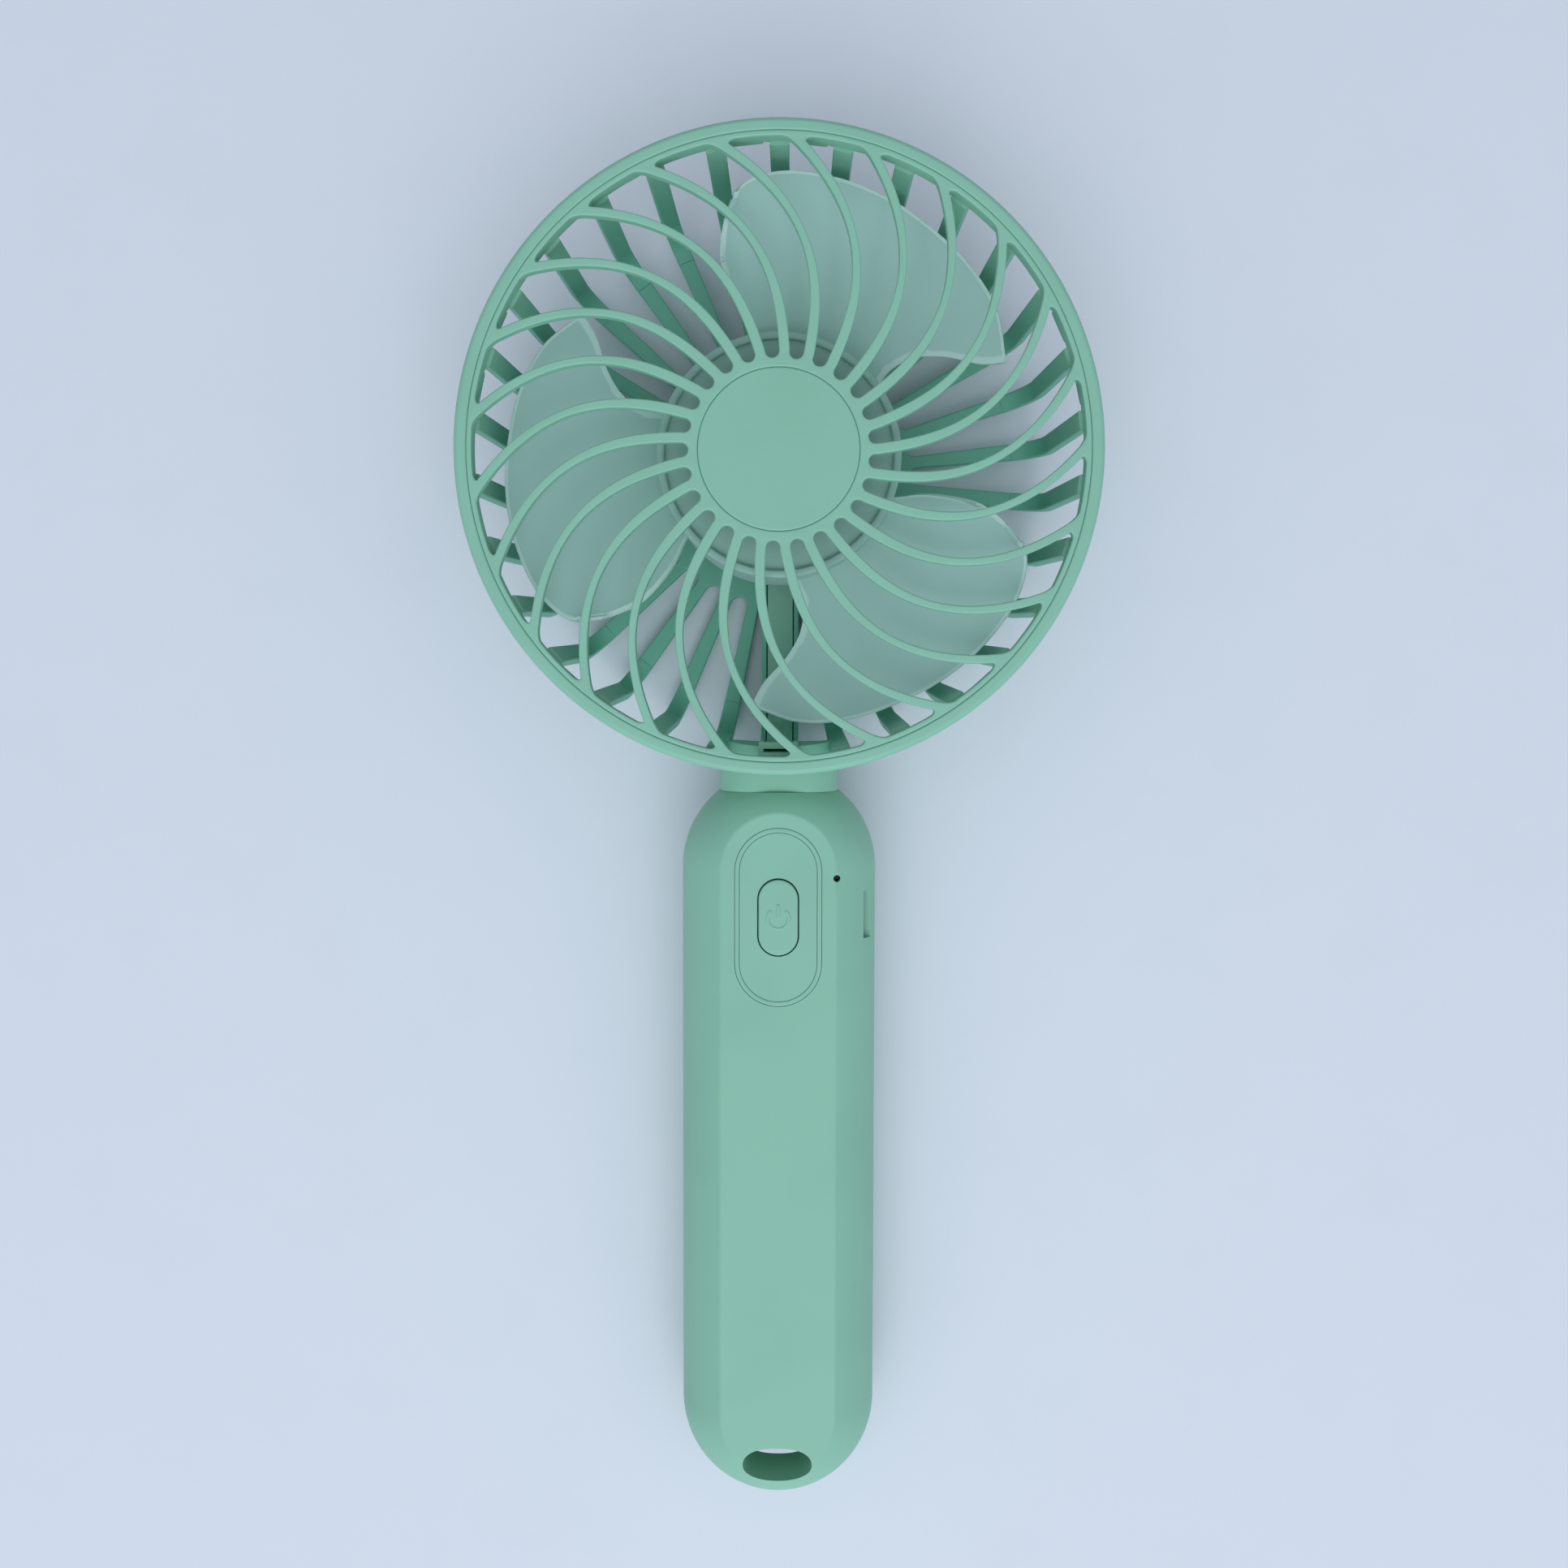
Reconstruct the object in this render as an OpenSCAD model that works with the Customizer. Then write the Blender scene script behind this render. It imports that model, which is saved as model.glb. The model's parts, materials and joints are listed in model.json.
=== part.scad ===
// Handheld electric fan, lying on its back.
// Origin: centre of the flat back of the head. +Z: rotor axis, toward the front. The handle runs toward -Y.

/* [Head] */
// Outside diameter of the head's rim
head_d = 101; // [100.5:0.5:104]
// Depth of the head, from its flat back to its front face
head_depth = 34; // [34:0.5:36]
// Height of the rim band around the front of the head
rim_h = 3.6; // [3:0.1:4]
// Wall thickness of the rear guard's basket
basket_wall = 1.8; // [1.6:0.1:2]
// Number of straight bars in the rear guard
bar_count = 30; // [30]
// Width of each straight bar at the basket's wall
bar_w = 3.05; // [2.9:0.05:3.3]
// Radius of the solid plate at the middle of the rear guard
back_plate_r = 22; // [21.5:0.1:22.5]

/* [Front grille] */
// Number of curved ribs in the front grille
rib_count = 25; // [20:1:28]
// Width of each curved rib, near the middle plate
rib_w = 1.6; // [1.3:0.1:1.7]
// Thickness of the ribs and of the middle plate
grille_t = 2; // [1.6:0.1:2.4]
// Radius of the grille's middle plate
centre_r = 14; // [13.5:0.1:14.5]
// Radius of the plain disc let into the middle plate
badge_r = 12.4; // [11:0.1:12.6]

/* [Impeller] */
// Number of blades
blade_count = 3; // [2:1:3]
// Radius of the blade tips
blade_tip_r = 44.5; // [43:0.1:44.8]
// Outside radius of the impeller's hub
hub_r = 19.4; // [19:0.1:19.8]
// Height that a blade tip climbs from its leading edge, at the rear, to its trailing edge
blade_rise = 9.6; // [8:0.2:10]
// Blade thickness, measured along the rotor axis
blade_t = 1.2; // [1:0.1:1.6]

/* [Motor] */
// Outside radius of the motor's steel can
motor_r = 12.2; // [12:0.1:12.3]
// Length of the motor's steel can
motor_len = 12.3; // [12:0.1:12.6]
// Radius of the motor shaft
shaft_r = 1; // [1:0.05:1.1]

/* [Handle] */
// Width of the handle
handle_w = 32; // [32:0.5:34]
// Thickness of the handle
handle_t = 22; // [22:0.25:23]
// Width of the flat facets on the handle's front and back
facet_w = 18.6; // [17:0.2:20]
// Distance from the rotor axis to the handle's tip
handle_reach = 171.8; // [171:0.2:176]
// Wall thickness of the handle shells
shell_wall = 1.6; // [1.4:0.1:1.6]
// Width of the neck between the head and the handle
neck_w = 19.4; // [18:0.2:20]

/* [Button and openings] */
// Width of the power button
button_w = 6.3; // [5.6:0.1:6.5]
// Length of the power button
button_l = 12.2; // [11:0.1:13]
// How far the power button travels when pressed
button_travel = 0.4; // [0.2:0.05:0.4]
// Width of the lanyard slot through the handle's end
slot_w = 11.3; // [9.5:0.1:11.5]
// Length of the lanyard slot in the front shell, along the handle
slot_l = 5.9; // [5.4:0.1:6.2]

/* [Hidden] */
$fn = 64;
eps = 0.01;

// Colours
mint = [0.56, 0.80, 0.70];
frosted = [0.80, 0.90, 0.87];
steel = [0.72, 0.73, 0.75];
copper = [0.72, 0.42, 0.22];
board_green = [0.10, 0.35, 0.22];
black = [0.08, 0.08, 0.08];

// Rim and grille seat
rim_r = head_d / 2;
rim_round = 0.9;
rim_wall = 2.05;
rim_in_r = rim_r - rim_wall;
rim_bottom = head_depth - rim_h;
seam_gap = 0.12;
grille_r = rim_in_r - seam_gap;
grille_ring_w = 0.75;
grille_open_r = grille_r - grille_ring_w;
grille_ring_h = 2.8;
ledge_h = rim_h - grille_ring_h;
ledge_r = grille_open_r + 0.1;
grille_back = head_depth - grille_t;
badge_t = 0.8;
badge_gap = 0.2;
catch_pairs = 5;
catch_angle = 6;
catch_w = 5.2;
catch_t = 0.5;
catch_round = 0.6;
catch_play = 0.2;
catch_drop = 0.9;
catch_hook = 0.45;
catch_hook_w = 2.2;

// Curved ribs: swept angle from the middle plate to the ring, as a sum of powers
rib_start = 0.33;
rib_sweep_line = 13.7;
rib_sweep_cube = 31.8;
rib_sweep_quart = -16.3;
// Width of a rib against rib_w, from the middle plate to the ring
rib_taper = [1.04, 0.99, 0.86, 0.74, 0.81, 0.88];
slot_end_r = 1.15;
slot_end_at = centre_r + slot_end_r;
rib_steps = 10;
corner_steps = 4;
sharp_corner = 1.7;
blunt_corner = 0.9;

// Rear guard basket
basket_top_r = rim_r - 1.6;
basket_low_r = rim_r - 3.4;
basket_corner_r = 7;
bar_top = rim_bottom + 0.4;
back_t = 2;
// Each side of a bar opens outward by this angle from a parallel core
bar_taper = 1.25;
bar_core = bar_w - 2 * basket_low_r * tan(bar_taper);
gap_angle = 180 / bar_count - bar_taper;
bar_slot_at = (back_plate_r + 0.1 - bar_core / 2) / (1 - sin(gap_angle));
bar_slot_round = bar_slot_at * sin(gap_angle) - bar_core / 2;

// Motor seat
motor_z = 4;
motor_top = motor_z + motor_len;
motor_nose_r = 3.2;
motor_nose_h = 1.5;
motor_wall = 0.7;
cup_in_r = motor_r + 0.1;
cup_wall = 1.6;
cup_top = motor_top;
retainer_t = 1.2;
retainer_screws_n = 3;
retainer_screw_at = 15.1;
boss_r = 1.9;
screw_r = 1;
screw_play = 0.1;
screw_head_r = 1.8;
screw_head_h = 1.2;
screw_len = 6;

// Spine and wires
spine_w = 6.3;
spine_wall = 0.8;
spine_h = 5;
spine_proud = 0.2;
trough_floor = 2;
trough_top = rim_bottom - 1.8;
cover_t = 0.8;
cover_gap = 0.2;
wire_r = 0.4;
wire_x = 0.8;
tunnel_r = 1.9;
cup_out_r = cup_in_r + cup_wall;
// Middle of the basket's wall round its lower corner
wall_mid = basket_corner_r - 0.9;

// Impeller
hub_front = head_depth - 6;
hub_back = 9;
hub_wall = 1.3;
hub_face_drop = 1;
hub_face_t = 1.5;
hub_boss_r = 3;
hub_boss_back = motor_top + motor_nose_h + 1.2;
blade_low = 19.2;
blade_root_rise = 6.2;
blade_root_r = hub_r - hub_wall / 2;
chord_steps = 16;
span_steps = 10;
// Edges of a blade: degrees to either side of the blade's own zero, root to tip
trail_edge = [10.5, 15.1, 16.6, 16, 13.4, 9.5];
lead_edge = [53, 50.4, 52.2, 57.4, 63.8, 66.5];
// Tip radius less blade_tip_r, from the trailing side to the leading side
tip_drop = [0.3, 0.1, 0, 0.2, 0.7, 1, 1.9, 4.3];
// Rounded outer corner at the trailing edge: how far the tip falls, and over what part of its run
tip_corner = 3.5;
tip_corner_run = 0.2;

// Motor insides
bearing_r = 2.5;
bearing_len = 2.4;
shaft_gap = 0.03;
shaft_low = motor_z + 0.9;
shaft_top = hub_front - hub_face_drop - hub_face_t + 1;
cap_t = 1;
magnet_in_r = 9.7;
pole_r = 9.3;
pole_count = 3;
core_z = motor_z + 5.4;
core_h = 4.8;
commutator_r = 2.1;
commutator_z = motor_z + 2.6;
commutator_h = 2;

// Handle
mid_z = 17;
half_w = handle_w / 2;
half_t = handle_t / 2;
side_run = half_w - facet_w / 2;
side_r = (side_run * side_run + half_t * half_t) / (2 * side_run);
side_x = half_w - side_r;
handle_top_y = -53.7;
end_low_y = -(handle_reach - half_w);
end_high_y = -66.2;
top_wall = 2;
spigot_w = 15;
spigot_t = 7;
spigot_y = -62.5;
neck_t = 16;
neck_round = 6.4;
handle_screw_y = -59;
handle_screw_x = 5;
tail_screw_x = 9.8;
tail_screw_y = end_low_y - 5.8;
handle_head_seat = mid_z - 5.2;
handle_screw_len = 12;
handle_boss_r = 2.2;

// Button and the lines round it
button_y = -73.65;
button_gap = 0.2;
button_proud = 0.3;
flange_grow = 1;
flange_t = 0.9;
flange_drop = 0.2;
frame_w = 14.1;
frame_l = 28.9;
frame_band = 0.85;
line_w = 0.16;
line_deep = 0.15;
symbol_r = 1.92;
symbol_line = 0.42;
symbol_h = 0.12;
symbol_gap = 43;
symbol_drop = 0.15;
stem_low = 0.15;
stem_high = 2.25;
led_x = 9.4;
led_y = -67.35;
led_hole_r = 0.55;

// Board
board_top = mid_z + 5.8;
board_t = 1.2;
board_w = 22;
board_high_y = -64.5;
board_low_y = -88;
board_screw_x = 8.6;
board_screw_y = -84.5;
port_l = 7.6;
port_h = 2.5;
port_depth = 5;
port_wall = 0.35;
port_tongue_w = 3.8;
port_face_x = 13.2;
// The port hangs in a cut-out of the board by two flanges
port_low = board_top - 1.25;
port_flange = 0.9;
port_flange_t = 0.3;
port_mouth_h = 1.9;
port_y = -73.65;
switch_size = 4.6;
switch_h = 1.6;
plunger_r = 1.1;
plunger_gap = 0.05;
plunger_up = 0.55;
plunger_top = board_top + switch_h + plunger_up;
button_post_r = 1.4;

// Battery
cell_r = 9.15;
cell_l = 65;
cell_high_y = -91;
cell_low_y = cell_high_y - cell_l;
lead_r = 0.55;
lead_x = -11.4;

// Lanyard slot
slot_top_y = -(handle_reach - 10.9);
// The slot in the rear shell runs further toward the tip, so that a cord passes easily round the bar
slot_rear_l = slot_l + 2.5;
slot_power = 2.4;
slot_steps = 48;

// ---------- helpers ----------

function polar(r, a) = [r * cos(a), r * sin(a)];
function mix(a, b, t) = a + (b - a) * t;
// Value along an evenly spaced list, t from 0 to 1, with a smooth curve through its entries
function along(list, t) =
    let (n = len(list) - 1, x = min(max(t, 0), 1) * n, i = min(floor(x), n - 1), f = x - i,
         a = list[max(i - 1, 0)], b = list[i], c = list[i + 1], d = list[min(i + 2, n)])
    b + f * ((c - a) / 2 + f * ((2 * a - 5 * b + 4 * c - d) / 2 + f * (3 * b - a - 3 * c + d) / 2));
// Rounded corner from p to q, the two sides meeting at c: an arc when p and q are equally far from c
function corner(p, c, q, steps) =
    let (pull = norm(q - p) / (norm(c - p) + norm(q - c)))
    [for (i = [0 : steps])
        let (t = i / steps, at_p = (1 - t) * (1 - t), at_c = 2 * pull * t * (1 - t), at_q = t * t)
        (at_p * p + at_c * c + at_q * q) / (at_p + at_c + at_q)];

module tube(r_out, r_in, h) {
    difference() {
        cylinder(r = r_out, h = h);
        translate([0, 0, -1]) cylinder(r = r_in, h = h + 2);
    }
}

// Flat shape with straight sides and round ends, its length along Y
module stadium(w, l) {
    square([w, l - w], center = true);
    for (side = [-1, 1]) translate([0, side * (l - w) / 2]) circle(d = w);
}

module rounded_box(w, l, r) {
    square([w - 2 * r, l], center = true);
    square([w, l - 2 * r], center = true);
    for (x = [-1, 1], y = [-1, 1]) translate([x * (w / 2 - r), y * (l / 2 - r)]) circle(r = r);
}

module box_between(low, high) {
    translate(low) cube(high - low);
}

// Oval with squarer shoulders than an ellipse
module oval(w, l) {
    polygon([for (i = [0 : slot_steps - 1]) let (a = i * 360 / slot_steps, c = cos(a), s = sin(a))
        [sign(c) * w / 2 * pow(abs(c), 2 / slot_power), sign(s) * l / 2 * pow(abs(s), 2 / slot_power)]]);
}

// Thin line along the inside of a stadium's outline
module stadium_line(w, l, line) {
    difference() {
        stadium(w, l);
        stadium(w - 2 * line, l - 2 * line);
    }
}

function unit(v) = v / norm(v);
function reverse(list) = [for (i = [len(list) - 1 : -1 : 0]) list[i]];
// Direction of a route at one of its points
function heading(route, i) =
    unit(route[min(i + 1, len(route) - 1)] - route[max(i - 1, 0)]);
// Points round a route at one of its points
function wire_ring(route, i, r, sides) =
    let (ahead = heading(route, i), side = unit(cross(ahead, [1, 0, 0])), up = cross(side, ahead))
    [for (k = [0 : sides - 1]) route[i] + r * (cos(k * 360 / sides) * side + sin(k * 360 / sides) * up)];

// Round wire swept along a list of points
module wire(route, r, sides = 8) {
    last = len(route) - 1;
    points = [for (i = [0 : last]) each wire_ring(route, i, r, sides)];
    walls = [for (i = [0 : last - 1], k = [0 : sides - 1])
        let (a = i * sides + k, b = i * sides + (k + 1) % sides)
        each [[a, b, b + sides], [a, b + sides, a + sides]]];
    start = [for (k = [sides - 1 : -1 : 0]) k];
    end = [for (k = [0 : sides - 1]) last * sides + k];
    polyhedron(points = points, faces = concat(walls, [start, end]));
}

// Screw with the seat of its head at z = 0 and its shank toward +Z
module screw(length, r, head_r, head_h) {
    translate([0, 0, -head_h]) difference() {
        cylinder(r = head_r, h = head_h);
        for (turn = [0, 90]) rotate(turn)
            translate([-head_r * 0.6, -head_r * 0.12, -eps]) cube([head_r * 1.2, head_r * 0.24, head_h / 2]);
    }
    cylinder(r = r, h = length);
}

// ---------- front grille ----------

function rib_t(r) = (r - slot_end_at) / (grille_open_r - slot_end_at);
function rib_turn(r) =
    let (t = rib_t(r))
    rib_start + rib_sweep_line * t + rib_sweep_cube * pow(t, 3) + rib_sweep_quart * pow(t, 4);
function rib_slope(r) = (rib_turn(r + 0.05) - rib_turn(r - 0.05)) / 0.1 * r * PI / 180;
// Point on one side of a rib: side is +1 on its counter-clockwise side, -1 on the other
function rib_side(r, start, side) =
    let (a = start + rib_turn(r), lean = atan(rib_slope(r)))
    polar(r, a) + side * rib_w / 2 * along(rib_taper, rib_t(r)) * [-sin(a + lean), cos(a + lean)];
function ring_point(a) = polar(grille_open_r, a);
// Angle at which a rib's side meets the ring
function ring_angle(start, side) =
    let (p = rib_side(grille_open_r, start, side), a = atan2(p.y, p.x),
         miss = norm(p) - grille_open_r, lean = atan(rib_slope(grille_open_r)))
    a - miss * tan(lean) / grille_open_r * 180 / PI;

function grille_slot(start) =
    let (pitch = 360 / rib_count, next = start + pitch,
         a1 = ring_angle(start, 1), a2 = ring_angle(next, -1) + (ring_angle(next, -1) < a1 ? 360 : 0),
         r_sharp = grille_open_r - sharp_corner * 0.7, r_blunt = grille_open_r - blunt_corner * 0.7,
         per_mm = 180 / PI / grille_open_r,
         arc_start = a1 + blunt_corner * per_mm, arc_end = a2 - sharp_corner * per_mm,
         inner_a = start + pitch / 2, middle = polar(slot_end_at, inner_a),
         first = rib_side(slot_end_at, start, 1), last = rib_side(slot_end_at, next, -1),
         end_r = norm(last - first) / 2)
    concat(
        [for (i = [0 : rib_steps]) rib_side(mix(slot_end_at, r_blunt, i / rib_steps), start, 1)],
        corner(rib_side(r_blunt, start, 1), ring_point(a1), ring_point(arc_start), corner_steps),
        [for (i = [1 : 3]) ring_point(mix(arc_start, arc_end, i / 4))],
        corner(ring_point(arc_end), ring_point(a2), rib_side(r_sharp, next, -1), corner_steps),
        [for (i = [1 : rib_steps]) rib_side(mix(r_sharp, slot_end_at, i / rib_steps), next, -1)],
        [for (i = [1 : 7]) (first + last) / 2 + polar(end_r, inner_a + 90 + i * 22.5)]
    );

module front_grille() {
    color(mint) difference() {
        union() {
            translate([0, 0, grille_back]) linear_extrude(grille_t) difference() {
                circle(r = grille_r, $fn = 128);
                for (k = [0 : rib_count - 1]) polygon(grille_slot(k * 360 / rib_count));
            }
            translate([0, 0, head_depth - grille_ring_h]) tube(grille_r, grille_open_r + 0.05, grille_ring_h);
            each_catch() grille_catch();
        }
        translate([0, 0, head_depth - badge_t]) cylinder(r = badge_r + badge_gap, h = badge_t + 1);
    }
}

module each_catch() {
    for (k = [0 : catch_pairs - 1], side = [-1, 1])
        rotate(90 + k * 360 / catch_pairs + side * catch_angle) children();
}

// Snap catch: a flat tab with rounded corners, and a hook that holds under the rim
module grille_catch() {
    low = rim_bottom - catch_drop;
    high = grille_back + 0.2;
    translate([grille_open_r + 0.1, 0, (low + high) / 2]) rotate([90, 0, 90])
        linear_extrude(catch_t) rounded_box(catch_w, high - low, catch_round);
    box_between([grille_open_r + catch_t, -catch_hook_w / 2, low + 0.15],
                [grille_r + catch_hook, catch_hook_w / 2, rim_bottom - 0.15]);
}

module front_badge() {
    color(mint) translate([0, 0, head_depth - badge_t]) cylinder(r = badge_r, h = badge_t);
}

// ---------- rear guard ----------

// Section of the basket's outer surface, shrunk by inset, filled to the axis
module basket_section(inset) {
    r = basket_corner_r - inset;
    corner_x = basket_low_r - basket_corner_r;
    polygon([
        [0, inset], [corner_x, inset], [corner_x, basket_corner_r], [basket_low_r - inset, basket_corner_r],
        [basket_top_r - inset, rim_bottom + 1], [0, rim_bottom + 1]
    ]);
    intersection() {
        translate([corner_x, basket_corner_r]) circle(r = r);
        translate([corner_x - eps, inset - 1]) square([r + 1, basket_corner_r - inset + 1]);
    }
}

// Gap between two bars
module bar_slot() {
    reach = rim_r + 5;
    base_x = bar_slot_at - bar_slot_round * sin(gap_angle);
    base_y = bar_slot_round * cos(gap_angle);
    tip_y = base_y + (reach - base_x) * tan(gap_angle);
    translate([bar_slot_at, 0]) circle(r = bar_slot_round);
    polygon([[base_x, -base_y], [reach, -tip_y], [reach, tip_y], [base_x, base_y]]);
}

// All the gaps, but none where the spine runs
module bar_slots() {
    difference() {
        for (k = [0 : bar_count - 1]) rotate(90 + (k + 0.5) * 360 / bar_count) bar_slot();
        translate([-spine_w / 2, -2 * rim_r]) square([spine_w, 2 * rim_r]);
    }
}

module basket() {
    difference() {
        rotate_extrude($fn = 128) difference() {
            basket_section(0);
            translate([0, back_t - basket_wall]) intersection() {
                basket_section(basket_wall);
                square([rim_r, head_depth]);
            }
            translate([0, bar_top]) square([rim_r, 10]);
        }
        translate([0, 0, -1]) linear_extrude(head_depth) bar_slots();
    }
}

module rim() {
    rotate_extrude($fn = 128) {
        translate([rim_in_r, rim_bottom]) square([rim_wall - rim_round, rim_h]);
        translate([ledge_r, rim_bottom]) square([rim_in_r - ledge_r + eps, ledge_h]);
        translate([rim_r - rim_round, rim_bottom + rim_round]) square([rim_round, rim_h - 2 * rim_round]);
        for (z = [rim_bottom + rim_round, head_depth - rim_round])
            translate([rim_r - rim_round, z]) circle(r = rim_round);
    }
}

module each_retainer_screw(z) {
    for (k = [0 : retainer_screws_n - 1]) rotate(90 + k * 360 / retainer_screws_n)
        translate([retainer_screw_at, 0, z]) children();
}

module motor_cup() {
    difference() {
        union() {
            tube(cup_out_r, cup_in_r, cup_top);
            each_retainer_screw(0) cylinder(r = boss_r, h = cup_top);
        }
        each_retainer_screw(cup_top - screw_len) cylinder(r = screw_r, h = screw_len + 1);
        translate([0, 0, -1]) cylinder(r = cup_in_r, h = cup_top + 2);
    }
}

// Rotor side of the wire cover, in Y and Z: along the floor, round the corner and up the side
function cover_face(grow) = [for (p = [
        [5.8, spine_h], [4.5, 6], [3.6, 7.8], [3.1, 9.8], [1.7, 12.6], [1.5, 13.4]
    ]) [grow - basket_low_r + p.x, p.y + grow]];

// Both walls of the wire trough, as one block
module spine_section() {
    top = trough_top + 0.8;
    corner_y = basket_corner_r - basket_low_r;
    polygon(concat(
        [[-cup_in_r - 0.5, 1]],
        [for (a = [90 : -30 : 0]) [corner_y - wall_mid * cos(a), basket_corner_r - wall_mid * sin(a)]],
        [[-(basket_top_r - 0.9), top], [spine_proud - basket_low_r + 1.5, top]],
        reverse(cover_face(spine_proud)),
        [[-cup_in_r - 0.5, spine_h + spine_proud]]
    ));
}

module along_x(w) {
    translate([-w / 2, 0, 0]) rotate([90, 0, 90]) linear_extrude(w) children();
}

module neck_shape(w, t, r) {
    rotate([90, 0, 0]) linear_extrude(20) translate([0, mid_z]) rounded_box(w, t, r);
}

module neck() {
    difference() {
        union() {
            intersection() {
                translate([0, -36, 0]) neck_shape(neck_w, neck_t, neck_round);
                box_between([-neck_w, handle_top_y, 0], [neck_w, -40, head_depth]);
            }
            box_between([-spigot_w / 2, spigot_y, mid_z - spigot_t / 2],
                        [spigot_w / 2, handle_top_y + 1, mid_z + spigot_t / 2]);
        }
        translate([0, 0, -1]) cylinder(r = basket_low_r - 0.8, h = head_depth, $fn = 128);
        for (side = [-1, 1]) translate([side * handle_screw_x, handle_screw_y, 0])
            cylinder(r = screw_r + screw_play, h = head_depth);
    }
}

module rear_guard() {
    color(mint) difference() {
        union() {
            basket();
            rim();
            motor_cup();
            neck();
            along_x(spine_w) spine_section();
        }
        // Notches that the grille's snap catches pass through
        each_catch() box_between([ledge_r - 1, -catch_w / 2 - catch_play, rim_bottom - 1],
                                 [rim_in_r + 0.15, catch_w / 2 + catch_play, rim_bottom + ledge_h + 1]);
        // Inside of the wire trough, open toward the rotor
        along_x(spine_w - 2 * spine_wall) spine_trough();
        // Gap that lets the wires out of the motor cup
        box_between([-2, -cup_out_r - 1, trough_floor], [2, -cup_in_r + 1, spine_h]);
        translate([0, -basket_low_r + 2, mid_z]) rotate([90, 0, 0]) cylinder(r = tunnel_r, h = 30);
    }
}

module spine_trough() {
    low = basket_low_r;
    start = -cup_out_r - 0.4;
    polygon([
        [start, trough_floor], [6.1 - low, trough_floor], [4.2 - low, 2.6], [2.4 - low, 4.4],
        [1.4 - low, 7], [1 - low, 9.5], [-low - 0.5, 11], [-low - 0.5, trough_top],
        [6 - low, trough_top], [6 - low, spine_h + 3], [start, spine_h + 3]
    ]);
}

module wire_cover() {
    low = basket_low_r;
    start = -cup_out_r - 0.6;
    top = trough_top - cover_gap;
    color(mint) along_x(spine_w - 2 * spine_wall - 2 * cover_gap) polygon(concat(
        [[start, spine_h - cover_t], [5.5 - low, spine_h - cover_t], [3.9 - low, 5.6], [2.9 - low, 7.5]],
        [[2.4 - low, 9.6], [1.1 - low, 12.2], [0.8 - low, 13], [0.8 - low, top], [1.5 - low, top]],
        reverse(cover_face(0)),
        [[start, spine_h]]
    ));
}

// ---------- motor ----------

module motor_retainer() {
    color(mint) translate([0, 0, motor_top]) difference() {
        union() {
            cylinder(r = cup_out_r, h = retainer_t);
            each_retainer_screw(0) cylinder(r = boss_r, h = retainer_t);
        }
        translate([0, 0, -1]) cylinder(r = motor_nose_r + 0.2, h = retainer_t + 2);
        each_retainer_screw(-1) cylinder(r = screw_r + screw_play, h = retainer_t + 2);
    }
}

module retainer_screws() {
    color(steel) each_retainer_screw(motor_top + retainer_t) mirror([0, 0, 1])
        screw(screw_len, screw_r, screw_head_r - 0.1, 1);
}

module motor_can() {
    color(steel) difference() {
        union() {
            translate([0, 0, motor_z]) cylinder(r = motor_r, h = motor_len);
            translate([0, 0, motor_top]) cylinder(r = motor_nose_r, h = motor_nose_h);
        }
        translate([0, 0, motor_z - 1]) cylinder(r = motor_r - motor_wall, h = motor_len + 1 - motor_wall);
        translate([0, 0, motor_top - motor_wall - 1]) cylinder(r = bearing_r, h = 5);
    }
}

module motor_magnets() {
    color([0.25, 0.25, 0.27]) translate([0, 0, motor_z + 2]) difference() {
        tube(motor_r - motor_wall, magnet_in_r, motor_len - 4);
        for (turn = [0, 180]) rotate(turn) translate([0, -3, -1]) cube([motor_r + 1, 6, motor_len]);
    }
}

module motor_end_cap() {
    color(black) translate([0, 0, motor_z]) difference() {
        union() {
            cylinder(r = motor_r - motor_wall, h = cap_t);
            cylinder(r = bearing_r + 0.8, h = cap_t + 1.4);
        }
        translate([0, 0, 0.5]) cylinder(r = bearing_r, h = 5);
        for (side = [-1, 1]) translate([side * 6 - 1, -0.3, -1]) cube([2, 0.6, 5]);
    }
}

module motor_bushings() {
    top_of_nose = motor_top + motor_nose_h;
    color([0.72, 0.58, 0.35]) for (z = [motor_z + 0.5, top_of_nose - bearing_len])
        translate([0, 0, z]) tube(bearing_r, shaft_r + shaft_gap, z > mid_z - 5 ? bearing_len : 1.9);
}

module motor_terminals() {
    color(copper) for (side = [-1, 1])
        box_between([side * 6 - 0.9, -0.2, motor_z - 1.3], [side * 6 + 0.9, 0.2, motor_z + cap_t + 0.8]);
}

module motor_brushes() {
    z = commutator_z + commutator_h / 2;
    color(copper) for (side = [-1, 1]) {
        x = side * (commutator_r + 0.3);
        box_between([min(x, x - side * 0.25), -3, z - 0.5], [max(x, x - side * 0.25), 3.2, z + 0.5]);
        box_between([side * 4.3 - 2, 2.9, z - 0.5], [side * 4.3 + 2, 3.2, z + 0.5]);
        box_between([side * 6 - 0.4, 2.9, motor_z + cap_t], [side * 6 + 0.4, 3.2, z + 0.5]);
    }
}

module motor_shaft() {
    color(steel) translate([0, 0, shaft_low]) cylinder(r = shaft_r, h = shaft_top - shaft_low);
}

module armature_core() {
    color([0.5, 0.5, 0.52]) translate([0, 0, core_z]) difference() {
        union() {
            cylinder(r = 3.2, h = core_h);
            for (k = [0 : pole_count - 1]) rotate(k * 120) {
                translate([0, -1.3, 0]) cube([pole_r - 1, 2.6, core_h]);
                intersection() {
                    tube(pole_r, pole_r - 1.4, core_h);
                    rotate(-46) cube([20, 20, core_h]);
                    rotate(-44) cube([20, 20, core_h]);
                }
            }
        }
        translate([0, 0, -1]) cylinder(r = shaft_r, h = core_h + 2);
    }
}

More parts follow.
